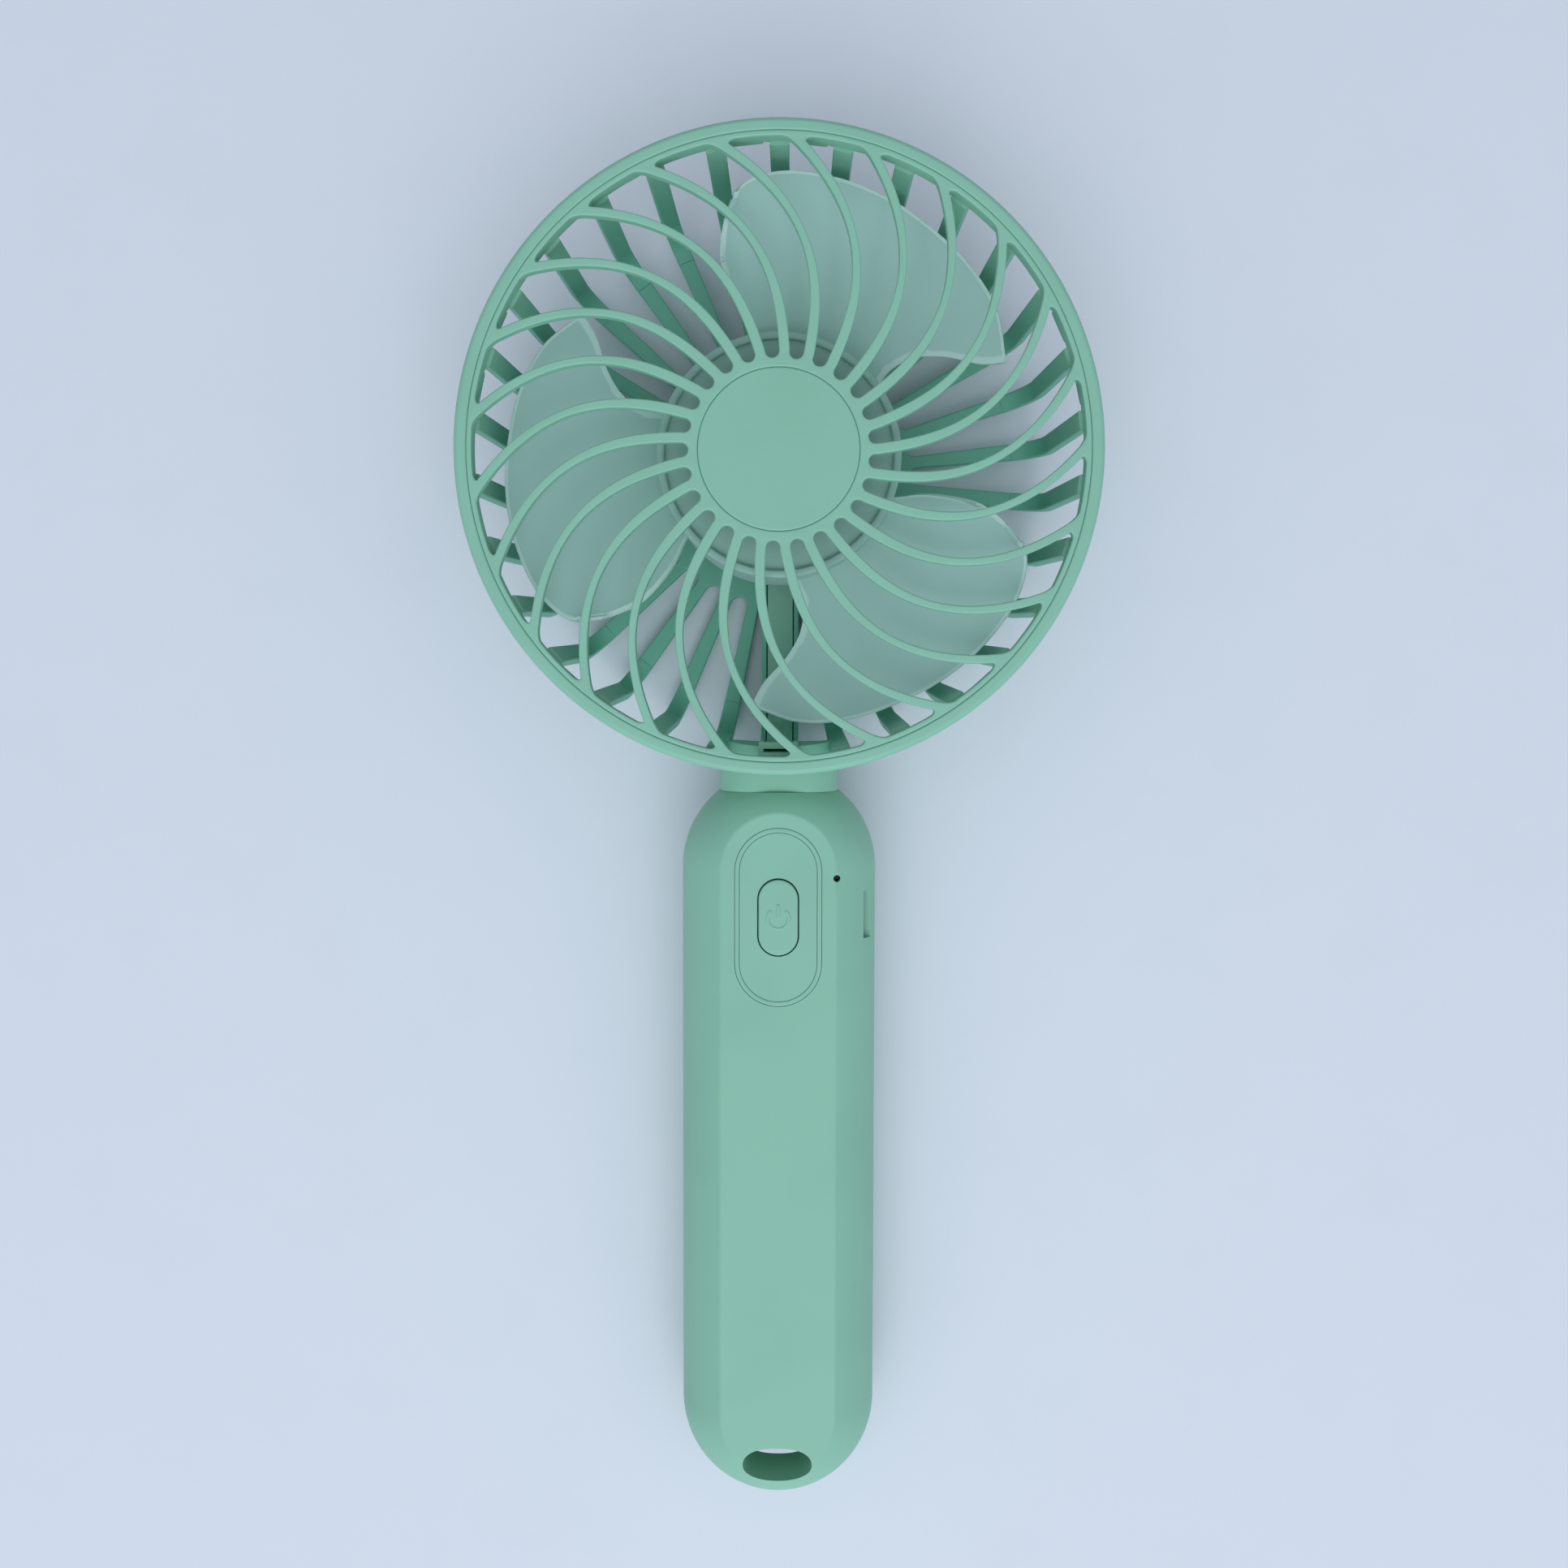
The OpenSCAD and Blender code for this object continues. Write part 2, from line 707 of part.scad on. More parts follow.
module armature_windings() {
    color(copper) for (k = [0 : pole_count - 1]) rotate(k * 120)
        translate([0, 0, core_z - 0.9]) difference() {
            translate([4.6, -2.6, 0]) cube([2.7, 5.2, core_h + 1.8]);
            translate([4, -1.32, 0.88]) cube([5, 2.64, core_h + 0.04]);
        }
}

module commutator() {
    color(copper) translate([0, 0, commutator_z]) difference() {
        tube(commutator_r, shaft_r, commutator_h);
        for (k = [0 : 2]) rotate(60 + k * 120) translate([commutator_r - 0.5, -0.15, -1]) cube([1, 0.3, 5]);
    }
}

// Motor wires: from the terminals, along the spine, through the neck, to the board
function wire_route(side) = [
    [side * 6, -0.45, motor_z - 0.8], [side * 2.6, -8.5, 2.6], [side * wire_x, -14, 2.6],
    [side * wire_x, -40.6, 2.6], [side * wire_x, -42.4, 3.2], [side * wire_x, -44, 4.9],
    [side * wire_x, -45, 7.2], [side * wire_x, -45.5, 9.5], [side * wire_x, -46.7, 11.6],
    [side * wire_x, -46.95, 13.5], [side * wire_x, -46.95, 16], [side * wire_x, -48.8, mid_z],
    [side * wire_x, -64.5, mid_z], [side * 2.5, -67.6, mid_z + 1.8], [side * 2.5, -68, mid_z + 3.4],
    [side * 2.5, -68, board_top - board_t - 0.05]
];

module wire_red() {
    color([0.75, 0.1, 0.08]) wire(wire_route(1), wire_r);
}

module wire_black() {
    color(black) wire(wire_route(-1), wire_r);
}

// ---------- impeller ----------

// Where a point of a blade lies: u runs from the trailing edge to the leading edge, v from root to tip
function blade_angle(u, v) = mix(along(trail_edge, v), -along(lead_edge, v), u);
function tip_radius(u) =
    let (k = max(0, 1 - u / tip_corner_run))
    blade_tip_r - along(tip_drop, u) - tip_corner * (1 - sqrt(1 - k * k));
function blade_radius(u, v) = mix(blade_root_r, tip_radius(u), v);
// The leading edge lies at one height. The blade climbs to its trailing edge, most at the tip
function blade_height(u, v) = blade_low + (1 - u) * mix(blade_root_rise, blade_rise, v);
function blade_point(u, v, side) =
    let (p = polar(blade_radius(u, v), blade_angle(u, v)))
    [p.x, p.y, blade_height(u, v) + side * blade_t / 2];

module blade() {
    cols = chord_steps + 1;
    rows = span_steps + 1;
    count = cols * rows;
    points = [for (side = [-1, 1], j = [0 : span_steps], i = [0 : chord_steps])
        blade_point((1 - cos(180 * i / chord_steps)) / 2, j / span_steps, side)];
    function at(i, j, top) = top * count + j * cols + i;
    // The same point order round each cell on the upper face, the opposite order below
    faces = concat(
        [for (j = [0 : span_steps - 1], i = [0 : chord_steps - 1]) each
            [[at(i, j, 1), at(i + 1, j + 1, 1), at(i + 1, j, 1)],
             [at(i, j, 1), at(i, j + 1, 1), at(i + 1, j + 1, 1)],
             [at(i, j, 0), at(i + 1, j, 0), at(i + 1, j + 1, 0)],
             [at(i, j, 0), at(i + 1, j + 1, 0), at(i, j + 1, 0)]]],
        [for (i = [0 : chord_steps - 1]) each
            [[at(i, 0, 0), at(i, 0, 1), at(i + 1, 0, 1)], [at(i, 0, 0), at(i + 1, 0, 1), at(i + 1, 0, 0)],
             [at(i, span_steps, 0), at(i + 1, span_steps, 1), at(i, span_steps, 1)],
             [at(i, span_steps, 0), at(i + 1, span_steps, 0), at(i + 1, span_steps, 1)]]],
        [for (j = [0 : span_steps - 1]) each
            [[at(0, j, 0), at(0, j + 1, 1), at(0, j, 1)], [at(0, j, 0), at(0, j + 1, 0), at(0, j + 1, 1)],
             [at(chord_steps, j, 0), at(chord_steps, j, 1), at(chord_steps, j + 1, 1)],
             [at(chord_steps, j, 0), at(chord_steps, j + 1, 1), at(chord_steps, j + 1, 0)]]]
    );
    polyhedron(points = points, faces = faces);
}

module impeller() {
    face_top = hub_front - hub_face_drop;
    color(frosted) {
        translate([0, 0, hub_back]) tube(hub_r, hub_r - hub_wall, hub_front - hub_back);
        difference() {
            union() {
                translate([0, 0, face_top - hub_face_t]) cylinder(r = hub_r - hub_wall / 2, h = hub_face_t);
                translate([0, 0, hub_boss_back]) cylinder(r = hub_boss_r, h = face_top - hub_boss_back - 0.2);
            }
            translate([0, 0, hub_boss_back - 1]) cylinder(r = shaft_r, h = shaft_top - hub_boss_back + 1);
        }
        for (k = [0 : blade_count - 1]) rotate(90 - k * 360 / blade_count) blade();
    }
}

// ---------- handle ----------

// Half of the handle's cross-section, x from 0 out to the side
module handle_section(inset) {
    intersection() {
        union() {
            translate([side_x, 0]) circle(r = side_r - inset, $fn = 128);
            translate([0, -half_w]) square([side_x, handle_w]);
        }
        translate([0, -(half_t - inset)]) square([half_w, handle_t - 2 * inset]);
    }
}

module handle_body(inset) {
    translate([0, 0, mid_z]) {
        translate([0, end_high_y, 0]) rotate([90, 0, 0]) linear_extrude(end_high_y - end_low_y) {
            handle_section(inset);
            mirror([1, 0]) handle_section(inset);
        }
        translate([0, end_low_y, 0]) rotate(180) rotate_extrude(angle = 180, $fn = 128) handle_section(inset);
        translate([0, end_high_y, 0]) rotate_extrude(angle = 180, $fn = 128) handle_section(inset);
    }
}

// Everything that both shells share, for z above the middle when side is 1 and below it when side is -1
module handle_shell(side) {
    difference() {
        intersection() {
            handle_body(0);
            half_space(side);
            translate([-50, -200, -10]) cube([100, 200 + handle_top_y, 60]);
        }
        difference() {
            handle_body(shell_wall);
            translate([-50, handle_top_y - top_wall, -10]) cube([100, 30, 60]);
            shell_insides(side);
        }
        lanyard_slot(side, 0);
        box_between([-spigot_w / 2, handle_top_y - 5, mid_z - spigot_t / 2],
                    [spigot_w / 2, 0, mid_z + spigot_t / 2]);
    }
}

module lanyard_slot(side, grow) {
    l = side > 0 ? slot_l : slot_rear_l;
    translate([0, slot_top_y - l / 2, -10]) linear_extrude(60) oval(slot_w + 2 * grow, l + 2 * grow);
}

module half_space(side) {
    translate([-50, -200, side > 0 ? mid_z : mid_z - 50]) cube([100, 200, 50]);
}

// Walls and bosses left standing inside a shell
module shell_insides(side) {
    lanyard_slot(side, shell_wall);
    for (x = [-1, 1]) {
        boss_z = side > 0 ? mid_z + spigot_t / 2 : -10;
        translate([x * handle_screw_x, handle_screw_y, boss_z])
            cylinder(r = handle_boss_r, h = side > 0 ? 20 : mid_z - spigot_t / 2 + 10);
        translate([x * tail_screw_x, tail_screw_y, side > 0 ? mid_z : mid_z - 20])
            cylinder(r = handle_boss_r, h = 20);
    }
    for (y = [cell_high_y - 9, cell_low_y + 9]) difference() {
        translate([-half_w, y - 0.7, side > 0 ? mid_z + 1.5 : mid_z - 21.5]) cube([handle_w, 1.4, 20]);
        translate([0, y + 5, mid_z]) rotate([90, 0, 0]) cylinder(r = cell_r + 0.1, h = 10);
        box_between([lead_x - 1.2, y - 5, mid_z - 3], [lead_x + 1.2, y + 5, mid_z + 3]);
    }
}

module each_handle_screw() {
    for (x = [-1, 1]) {
        translate([x * handle_screw_x, handle_screw_y, handle_head_seat]) children();
        translate([x * tail_screw_x, tail_screw_y, handle_head_seat]) children();
    }
}

module each_board_screw() {
    for (x = [-1, 1]) translate([x * board_screw_x, board_screw_y, board_top - board_t]) children();
}

module handle_front() {
    face_z = mid_z + half_t;
    color(mint) difference() {
        union() {
            handle_shell(1);
            // Posts that carry the board
            intersection() {
                handle_body(0.5);
                each_board_screw() translate([0, 0, board_t]) cylinder(r = boss_r, h = 10);
            }
        }
        each_handle_screw() cylinder(r = screw_r, h = handle_screw_len + 0.4);
        each_board_screw() cylinder(r = screw_r - 0.2, h = 4.6);
        translate([0, button_y, mid_z + 8]) linear_extrude(10)
            stadium(button_w + 2 * button_gap, button_l + 2 * button_gap);
        translate([0, button_y, face_z - line_deep]) linear_extrude(1) {
            stadium_line(frame_w, frame_l, line_w);
            stadium_line(frame_w - 2 * frame_band, frame_l - 2 * frame_band, line_w);
        }
        translate([led_x, led_y, mid_z + 5]) cylinder(r = led_hole_r, h = 10);
        box_between([port_face_x - port_depth, port_y - port_l / 2 - 0.1, port_low - 0.1],
                    [port_face_x + 0.05, port_y + port_l / 2 + 0.1, port_low + port_h + 0.1]);
        box_between([port_face_x, port_y - port_l / 2 - 0.1, port_low + (port_h - port_mouth_h) / 2],
                    [half_w + 1, port_y + port_l / 2 + 0.1, port_low + (port_h + port_mouth_h) / 2]);
    }
}

module handle_rear() {
    color(mint) difference() {
        handle_shell(-1);
        each_handle_screw() {
            cylinder(r = screw_r + screw_play, h = 20);
            translate([0, 0, -20]) cylinder(r = screw_head_r + 0.3, h = 20);
        }
    }
}

module handle_screws() {
    color(steel) each_handle_screw() screw(handle_screw_len, screw_r, screw_head_r, screw_head_h);
}

// ---------- button ----------

module power_button() {
    face_z = mid_z + half_t;
    inner_z = face_z - shell_wall;
    flange_top = inner_z - flange_drop;
    color(mint) translate([0, button_y, 0]) {
        translate([0, 0, flange_top - eps]) linear_extrude(face_z + button_proud - flange_top + eps)
            stadium(button_w, button_l);
        translate([0, 0, flange_top - flange_t]) linear_extrude(flange_t)
            stadium(button_w + 2 * flange_grow, button_l + 2 * flange_grow);
        translate([0, 0, plunger_top]) cylinder(r = button_post_r, h = flange_top - plunger_top);
        translate([0, -symbol_drop, face_z + button_proud - eps]) {
            rotate(90 + symbol_gap) rotate_extrude(angle = 360 - 2 * symbol_gap)
                translate([symbol_r - symbol_line, 0]) square([symbol_line, symbol_h + eps]);
            translate([-symbol_line / 2, stem_low, 0])
                cube([symbol_line, stem_high - stem_low, symbol_h + eps]);
        }
    }
}

module switch_body() {
    color(black) translate([0, button_y, board_top]) difference() {
        translate([-switch_size / 2, -switch_size / 2, 0]) cube([switch_size, switch_size, switch_h]);
        translate([0, 0, 0.3]) cylinder(r = plunger_r + plunger_gap, h = 5);
    }
}

module switch_plunger() {
    low = board_top + 0.35 + button_travel;
    color(steel) translate([0, button_y, low]) cylinder(r = plunger_r, h = plunger_top - low);
}

// ---------- board ----------

module circuit_board() {
    color(board_green) difference() {
        box_between([-board_w / 2, board_low_y, board_top - board_t],
                    [board_w / 2, board_high_y, board_top]);
        each_board_screw() translate([0, 0, -1]) cylinder(r = screw_r, h = 5);
        box_between([port_face_x - port_depth - 0.1, port_y - port_l / 2 - 0.1, board_top - 5],
                    [board_w, port_y + port_l / 2 + 0.1, board_top + 5]);
    }
}

module board_screws() {
    color(steel) each_board_screw() screw(4.4, screw_r - 0.2, screw_head_r - 0.2, 1);
}

module charge_port() {
    back_x = port_face_x - port_depth;
    color(steel) difference() {
        union() {
            box_between([back_x, port_y - port_l / 2, port_low],
                        [port_face_x, port_y + port_l / 2, port_low + port_h]);
            box_between([back_x + 0.8, port_y - port_l / 2 - port_flange, board_top],
                        [back_x + 2.4, port_y + port_l / 2 + port_flange, board_top + port_flange_t]);
        }
        box_between([back_x + 0.6, port_y - port_l / 2 + port_wall, port_low + port_wall],
                    [port_face_x + 1, port_y + port_l / 2 - port_wall, port_low + port_h - port_wall]);
    }
    color(black) box_between([back_x + 0.5, port_y - port_tongue_w / 2, port_low + 1],
                             [port_face_x - 0.8, port_y + port_tongue_w / 2, port_low + 1.5]);
}

module charge_chip() {
    color(black) box_between([-7.5, -82.5, board_top], [-3.5, -78.5, board_top + 1.4]);
}

module board_components() {
    color([0.3, 0.28, 0.26]) {
        box_between([2.5, -87, board_top], [6, -83.5, board_top + 1.8]);
        for (k = [0 : 3])
            box_between([-5.5 + k * 2, -86.5, board_top], [-4.5 + k * 2, -84.9, board_top + 0.7]);
        for (k = [0 : 2])
            box_between([-9.5, -68 - k * 2.5, board_top], [-7.9, -67.2 - k * 2.5, board_top + 0.6]);
        translate([7.4, -80.3, board_top]) cylinder(r = 1.6, h = 2);
    }
}

module indicator_led() {
    color([0.95, 0.93, 0.85])
        box_between([led_x - 0.8, led_y - 0.6, board_top], [led_x + 0.8, led_y + 0.6, board_top + 0.7]);
}

// ---------- battery ----------

module battery_cell() {
    color([0.16, 0.32, 0.62]) translate([0, cell_high_y, mid_z]) rotate([90, 0, 0]) difference() {
        cylinder(r = cell_r, h = cell_l);
        tube(cell_r + 1, cell_r - 0.35, 1);
        translate([0, 0, -1]) tube(cell_r - 2, 3.2, 1.6);
    }
}

module battery_tabs() {
    t = 0.2;
    color(steel) {
        box_between([-2.5, cell_high_y, mid_z - 5], [2.5, cell_high_y + t, mid_z + 4]);
        box_between([-9.4, cell_low_y - t, mid_z - 2.5], [5, cell_low_y, mid_z + 2.5]);
    }
}

module battery_lead_red() {
    color([0.75, 0.1, 0.08]) wire([
        [1.5, cell_high_y + 0.3 + lead_r, mid_z], [1.5, cell_high_y + 2.5, mid_z + 1],
        [1.5, -86.2, board_top - board_t - 1.6], [1.5, -86, board_top - board_t - 0.8],
        [1.5, -86, board_top - board_t - 0.05]
    ], lead_r);
}

module battery_lead_black() {
    color(black) wire([
        [-8.4, cell_low_y - 0.3 - lead_r, mid_z], [-10.3, cell_low_y - 0.8, mid_z],
        [lead_x, cell_low_y + 1, mid_z], [lead_x, cell_low_y + 3, mid_z], [lead_x, -92, mid_z],
        [-7, -86.3, board_top - board_t - 1.6], [-6.8, -86, board_top - board_t - 0.8],
        [-6.8, -86, board_top - board_t - 0.05]
    ], lead_r);
}

module battery_foam() {
    color([0.2, 0.2, 0.2]) box_between([-4, cell_low_y - 1.9, mid_z - 6], [4, cell_low_y - 0.25, mid_z + 6]);
}

front_grille();
front_badge();
rear_guard();
wire_cover();
motor_retainer();
retainer_screws();
motor_can();
motor_magnets();
motor_end_cap();
motor_bushings();
motor_brushes();
motor_terminals();
wire_red();
wire_black();
impeller();
motor_shaft();
armature_core();
armature_windings();
commutator();
handle_front();
handle_rear();
handle_screws();
circuit_board();
board_screws();
charge_port();
charge_chip();
board_components();
indicator_led();
switch_body();
switch_plunger();
power_button();
battery_cell();
battery_tabs();
battery_lead_red();
battery_lead_black();
battery_foam();
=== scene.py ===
"""Looks of a handheld electric fan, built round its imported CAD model.

Lengths are millimetres in the CAD frame: +Z points out of the head's front, the handle runs toward -Y.
Shape.piece() turns them into metres.
"""
import json
import math

import bmesh
import bpy
from mathutils import Matrix, Vector
from mathutils.geometry import tessellate_polygon


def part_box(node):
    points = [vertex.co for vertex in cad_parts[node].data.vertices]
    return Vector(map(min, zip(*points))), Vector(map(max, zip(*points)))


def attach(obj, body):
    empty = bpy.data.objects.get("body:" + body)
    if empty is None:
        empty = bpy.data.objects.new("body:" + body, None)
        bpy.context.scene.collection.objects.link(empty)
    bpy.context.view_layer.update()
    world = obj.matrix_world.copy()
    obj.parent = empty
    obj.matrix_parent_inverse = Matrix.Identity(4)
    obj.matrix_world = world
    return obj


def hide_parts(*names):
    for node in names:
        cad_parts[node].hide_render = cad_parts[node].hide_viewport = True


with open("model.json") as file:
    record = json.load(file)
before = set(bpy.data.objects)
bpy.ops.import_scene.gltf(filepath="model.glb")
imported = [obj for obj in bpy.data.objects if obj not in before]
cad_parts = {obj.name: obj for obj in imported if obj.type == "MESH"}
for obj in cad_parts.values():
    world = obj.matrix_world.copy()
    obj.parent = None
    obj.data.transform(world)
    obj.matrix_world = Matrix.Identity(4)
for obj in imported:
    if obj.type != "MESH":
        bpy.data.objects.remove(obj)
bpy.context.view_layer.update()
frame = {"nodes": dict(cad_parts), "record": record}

MM = 0.001


def span(node):
    """Lowest and highest corner of a CAD node, in millimetres."""
    low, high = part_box(node)
    return low / MM, high / MM


# ---------- sizes ----------

GUARD_HIGH = span("rear_guard")[1]
HANDLE_LOW, HANDLE_HIGH = span("handle_front")
HUB_LOW = span("impeller")[0]
BUTTON_LOW, BUTTON_HIGH = span("power_button")

# Head
RIM_R = GUARD_HIGH.x
FRONT_Z = GUARD_HIGH.z
RIM_IN_R = RIM_R - 2.05
RIM_LOW = FRONT_Z - 3.6
RIM_ROUND = 0.9
LEDGE_TOP = FRONT_Z - 2.8
LEDGE_R = RIM_R - 2.82

# Front grille
GRILLE_R = RIM_IN_R - 0.12
GRILLE_OPEN_R = GRILLE_R - 0.75
GRILLE_BACK = FRONT_Z - 2
GROOVE = 0.02
RIB_COUNT = 25
RIB_W = 1.6
RIB_TAPER = [1.04, 0.99, 0.86, 0.74, 0.81, 0.88]
SHARP_CORNER = 1.7
BLUNT_CORNER = 0.9
SLOT_END_AT = 15.15
BADGE_R = 12.4
BADGE_GAP = 0.2
BADGE_T = 0.8
CATCH_PAIRS = 5
CATCH_ANGLE = 6

# Rear guard
BAR_COUNT = 30
BASKET_LOW_R = RIM_R - 3.4
BASKET_TOP_R = RIM_R - 1.6
BASKET_WALL = 1.8
BASKET_FLOOR = 2
CORNER_R = 7
CORNER_X = BASKET_LOW_R - CORNER_R
BAR_TAPER = 1.25
BAR_CORE = 3.05 - 2 * BASKET_LOW_R * math.tan(math.radians(BAR_TAPER))
GAP_ANGLE = 180 / BAR_COUNT - BAR_TAPER
BACK_PLATE_R = 22
SPINE_W = 6.3
SPINE_WALL = 0.8
CUP_R = 13.9
CUP_IN_R = 12.3
CUP_TOP = span("motor_can")[1].z - 1.5
CUP_FLOOR = 5
CUP_FOOT_GAP = 8.5
BOSS_COUNT = 3
BOSS_R = 1.9
BOSS_AT = 15.1

# Handle
MID_Z = HANDLE_LOW.z
HALF_W = HANDLE_HIGH.x
HALF_T = HANDLE_HIGH.z - MID_Z
FACE_Z = HANDLE_HIGH.z
TOP_Y = HANDLE_HIGH.y
LOW_Y = HANDLE_LOW.y + HALF_W
HIGH_Y = TOP_Y - 12.5
FACET_W = 18.6
FACET_ROUND = 1.1
SHELL_WALL = 1.6
SIDE_RUN = HALF_W - FACET_W / 2
SIDE_R = (SIDE_RUN ** 2 + HALF_T ** 2) / (2 * SIDE_RUN)
SKIN_SPLIT = 0.12
SOLID_TAIL = 14
NECK_W = 19.4
NECK_T = 16
NECK_ROUND = 6.4
SPIGOT_W = 15
SPIGOT_T = 7
SPIGOT_L = 8.8
SCREW_PLACES = [(5, -59), (9.8, LOW_Y - 5.8)]
SCREW_HOLE_R = 2.1

# Button and openings
BUTTON_Y = (BUTTON_LOW.y + BUTTON_HIGH.y) / 2
BUTTON_W = 6.3
BUTTON_L = 12.2
BUTTON_GAP = 0.24
BUTTON_TOP = FACE_Z + 0.3
FRAME_W = 14.1
FRAME_L = 28.9
FRAME_BAND = 0.85
FRAME_LINE = 0.07
SYMBOL_R = 1.92
SYMBOL_LINE = 0.42
SYMBOL_GAP = 43
SYMBOL_DROP = 0.15
PORT_L = 7.8
PORT_MOUTH_H = 2.3
LED_X = 9.4
LED_Y = -67.35
LED_R = 0.57
SLOT_TOP_Y = HANDLE_LOW.y + 10.9
SLOT_W = 11.3
SLOT_L = 5.9
SLOT_REAR_L = 9.5
SLOT_POWER = 2.4


# ---------- outlines ----------

def polar(r, degrees):
    a = math.radians(degrees)
    return (r * math.cos(a), r * math.sin(a))


def arc(x, y, r, start, end, steps):
    """Points on an arc, both ends included."""
    turns = [start + (end - start) * k / steps for k in range(steps + 1)]
    return [(x + polar(r, a)[0], y + polar(r, a)[1]) for a in turns]


def along(values, t):
    """Value along an evenly spaced list, with a smooth curve through its entries."""
    n = len(values) - 1
    x = min(max(t, 0), 1) * n
    i = min(int(x), n - 1)
    f = x - i
    a, b, c, d = values[max(i - 1, 0)], values[i], values[i + 1], values[min(i + 2, n)]
    return b + f * ((c - a) / 2 + f * ((2 * a - 5 * b + 4 * c - d) / 2 + f * (3 * b - a - 3 * c + d) / 2))


def circle(r, steps=96, x=0, y=0):
    return arc(x, y, r, 0, 360, steps)[:-1]


def stadium(w, l, y=0, steps=20):
    """Straight sides and round ends, its length along Y."""
    run = (l - w) / 2
    return arc(0, y + run, w / 2, 0, 180, steps) + arc(0, y - run, w / 2, 180, 360, steps)


def oval(w, l, y, steps=64):
    """Oval with squarer shoulders than an ellipse."""
    outline = []
    for k in range(steps):
        c, s = polar(1, 360 * k / steps)
        outline.append((math.copysign(w / 2 * abs(c) ** (2 / SLOT_POWER), c),
                        y + math.copysign(l / 2 * abs(s) ** (2 / SLOT_POWER), s)))
    return outline


def rounded(corners, steps=4):
    """Closed outline through (x, y, radius), each corner turned into an arc."""
    outline = []
    for i, (x, y, r) in enumerate(corners):
        p = Vector((x, y))
        back = (Vector(corners[i - 1][:2]) - p).normalized()
        ahead = (Vector(corners[(i + 1) % len(corners)][:2]) - p).normalized()
        if r == 0:
            outline.append(tuple(p))
            continue
        half = back.angle(ahead) / 2
        centre = p + (back + ahead).normalized() * r / math.sin(half)
        start = p + back * r / math.tan(half) - centre
        end = p + ahead * r / math.tan(half) - centre
        a = math.degrees(math.atan2(start.y, start.x))
        turn = math.degrees(math.atan2(start.x * end.y - start.y * end.x, start.dot(end)))
        outline += arc(centre.x, centre.y, r, a, a + turn, steps)
    return outline


def rectangle(x0, y0, x1, y1, r=0, steps=4):
    return rounded([(x0, y0, r), (x1, y0, r), (x1, y1, r), (x0, y1, r)], steps)


def offset(outline, d):
    """Closed outline moved to its left by d."""
    moved = []
    for i, p in enumerate(outline):
        before, after = outline[i - 1], outline[(i + 1) % len(outline)]
        u = Vector((p[0] - before[0], p[1] - before[1])).normalized()
        v = Vector((after[0] - p[0], after[1] - p[1])).normalized()
        side = Vector((-u.y - v.y, u.x + v.x))
        moved.append((p[0] + side.x * d / max(1 + u.dot(v), 0.4),
                      p[1] + side.y * d / max(1 + u.dot(v), 0.4)))
    return moved


def edge_levels(low, high, low_round, high_round, steps):
    """(height, inset) up the side of a plate whose two edges are rounded."""
    levels = []
    for k in range(steps + 1):
        c, s = polar(1, 90 * k / steps)
        if low_round or k == steps:
            levels.append((low + low_round * (1 - c), low_round * (1 - s)))
    for k in range(steps + 1):
        c, s = polar(1, 90 + 90 * k / steps)
        if high_round or k == 0:
            levels.append((high - high_round * (1 + c), high_round * (1 - s)))
    return levels


def skin(rows, cols, wrap_rows=False, wrap_cols=True):
    """Faces of a grid of points, row by row."""
    faces = []
    for j in range(rows if wrap_rows else rows - 1):
        for i in range(cols if wrap_cols else cols - 1):
            k = (j + 1) % rows
            n = (i + 1) % cols
            faces.append((j * cols + i, j * cols + n, k * cols + n, k * cols + i))
    return faces


def across_x(x):
    """Places an outline drawn in (y, z) so that its plate starts at x and grows toward +X."""
    return Matrix(((0, 0, 1, x), (1, 0, 0, 0), (0, 1, 0, 0), (0, 0, 0, 1)))


def turned(degrees, place=None):
    """A placement turned about the rotor axis."""
    turn = Matrix.Rotation(math.radians(degrees), 4, "Z")
    return turn @ place if place else turn


# ---------- shapes ----------

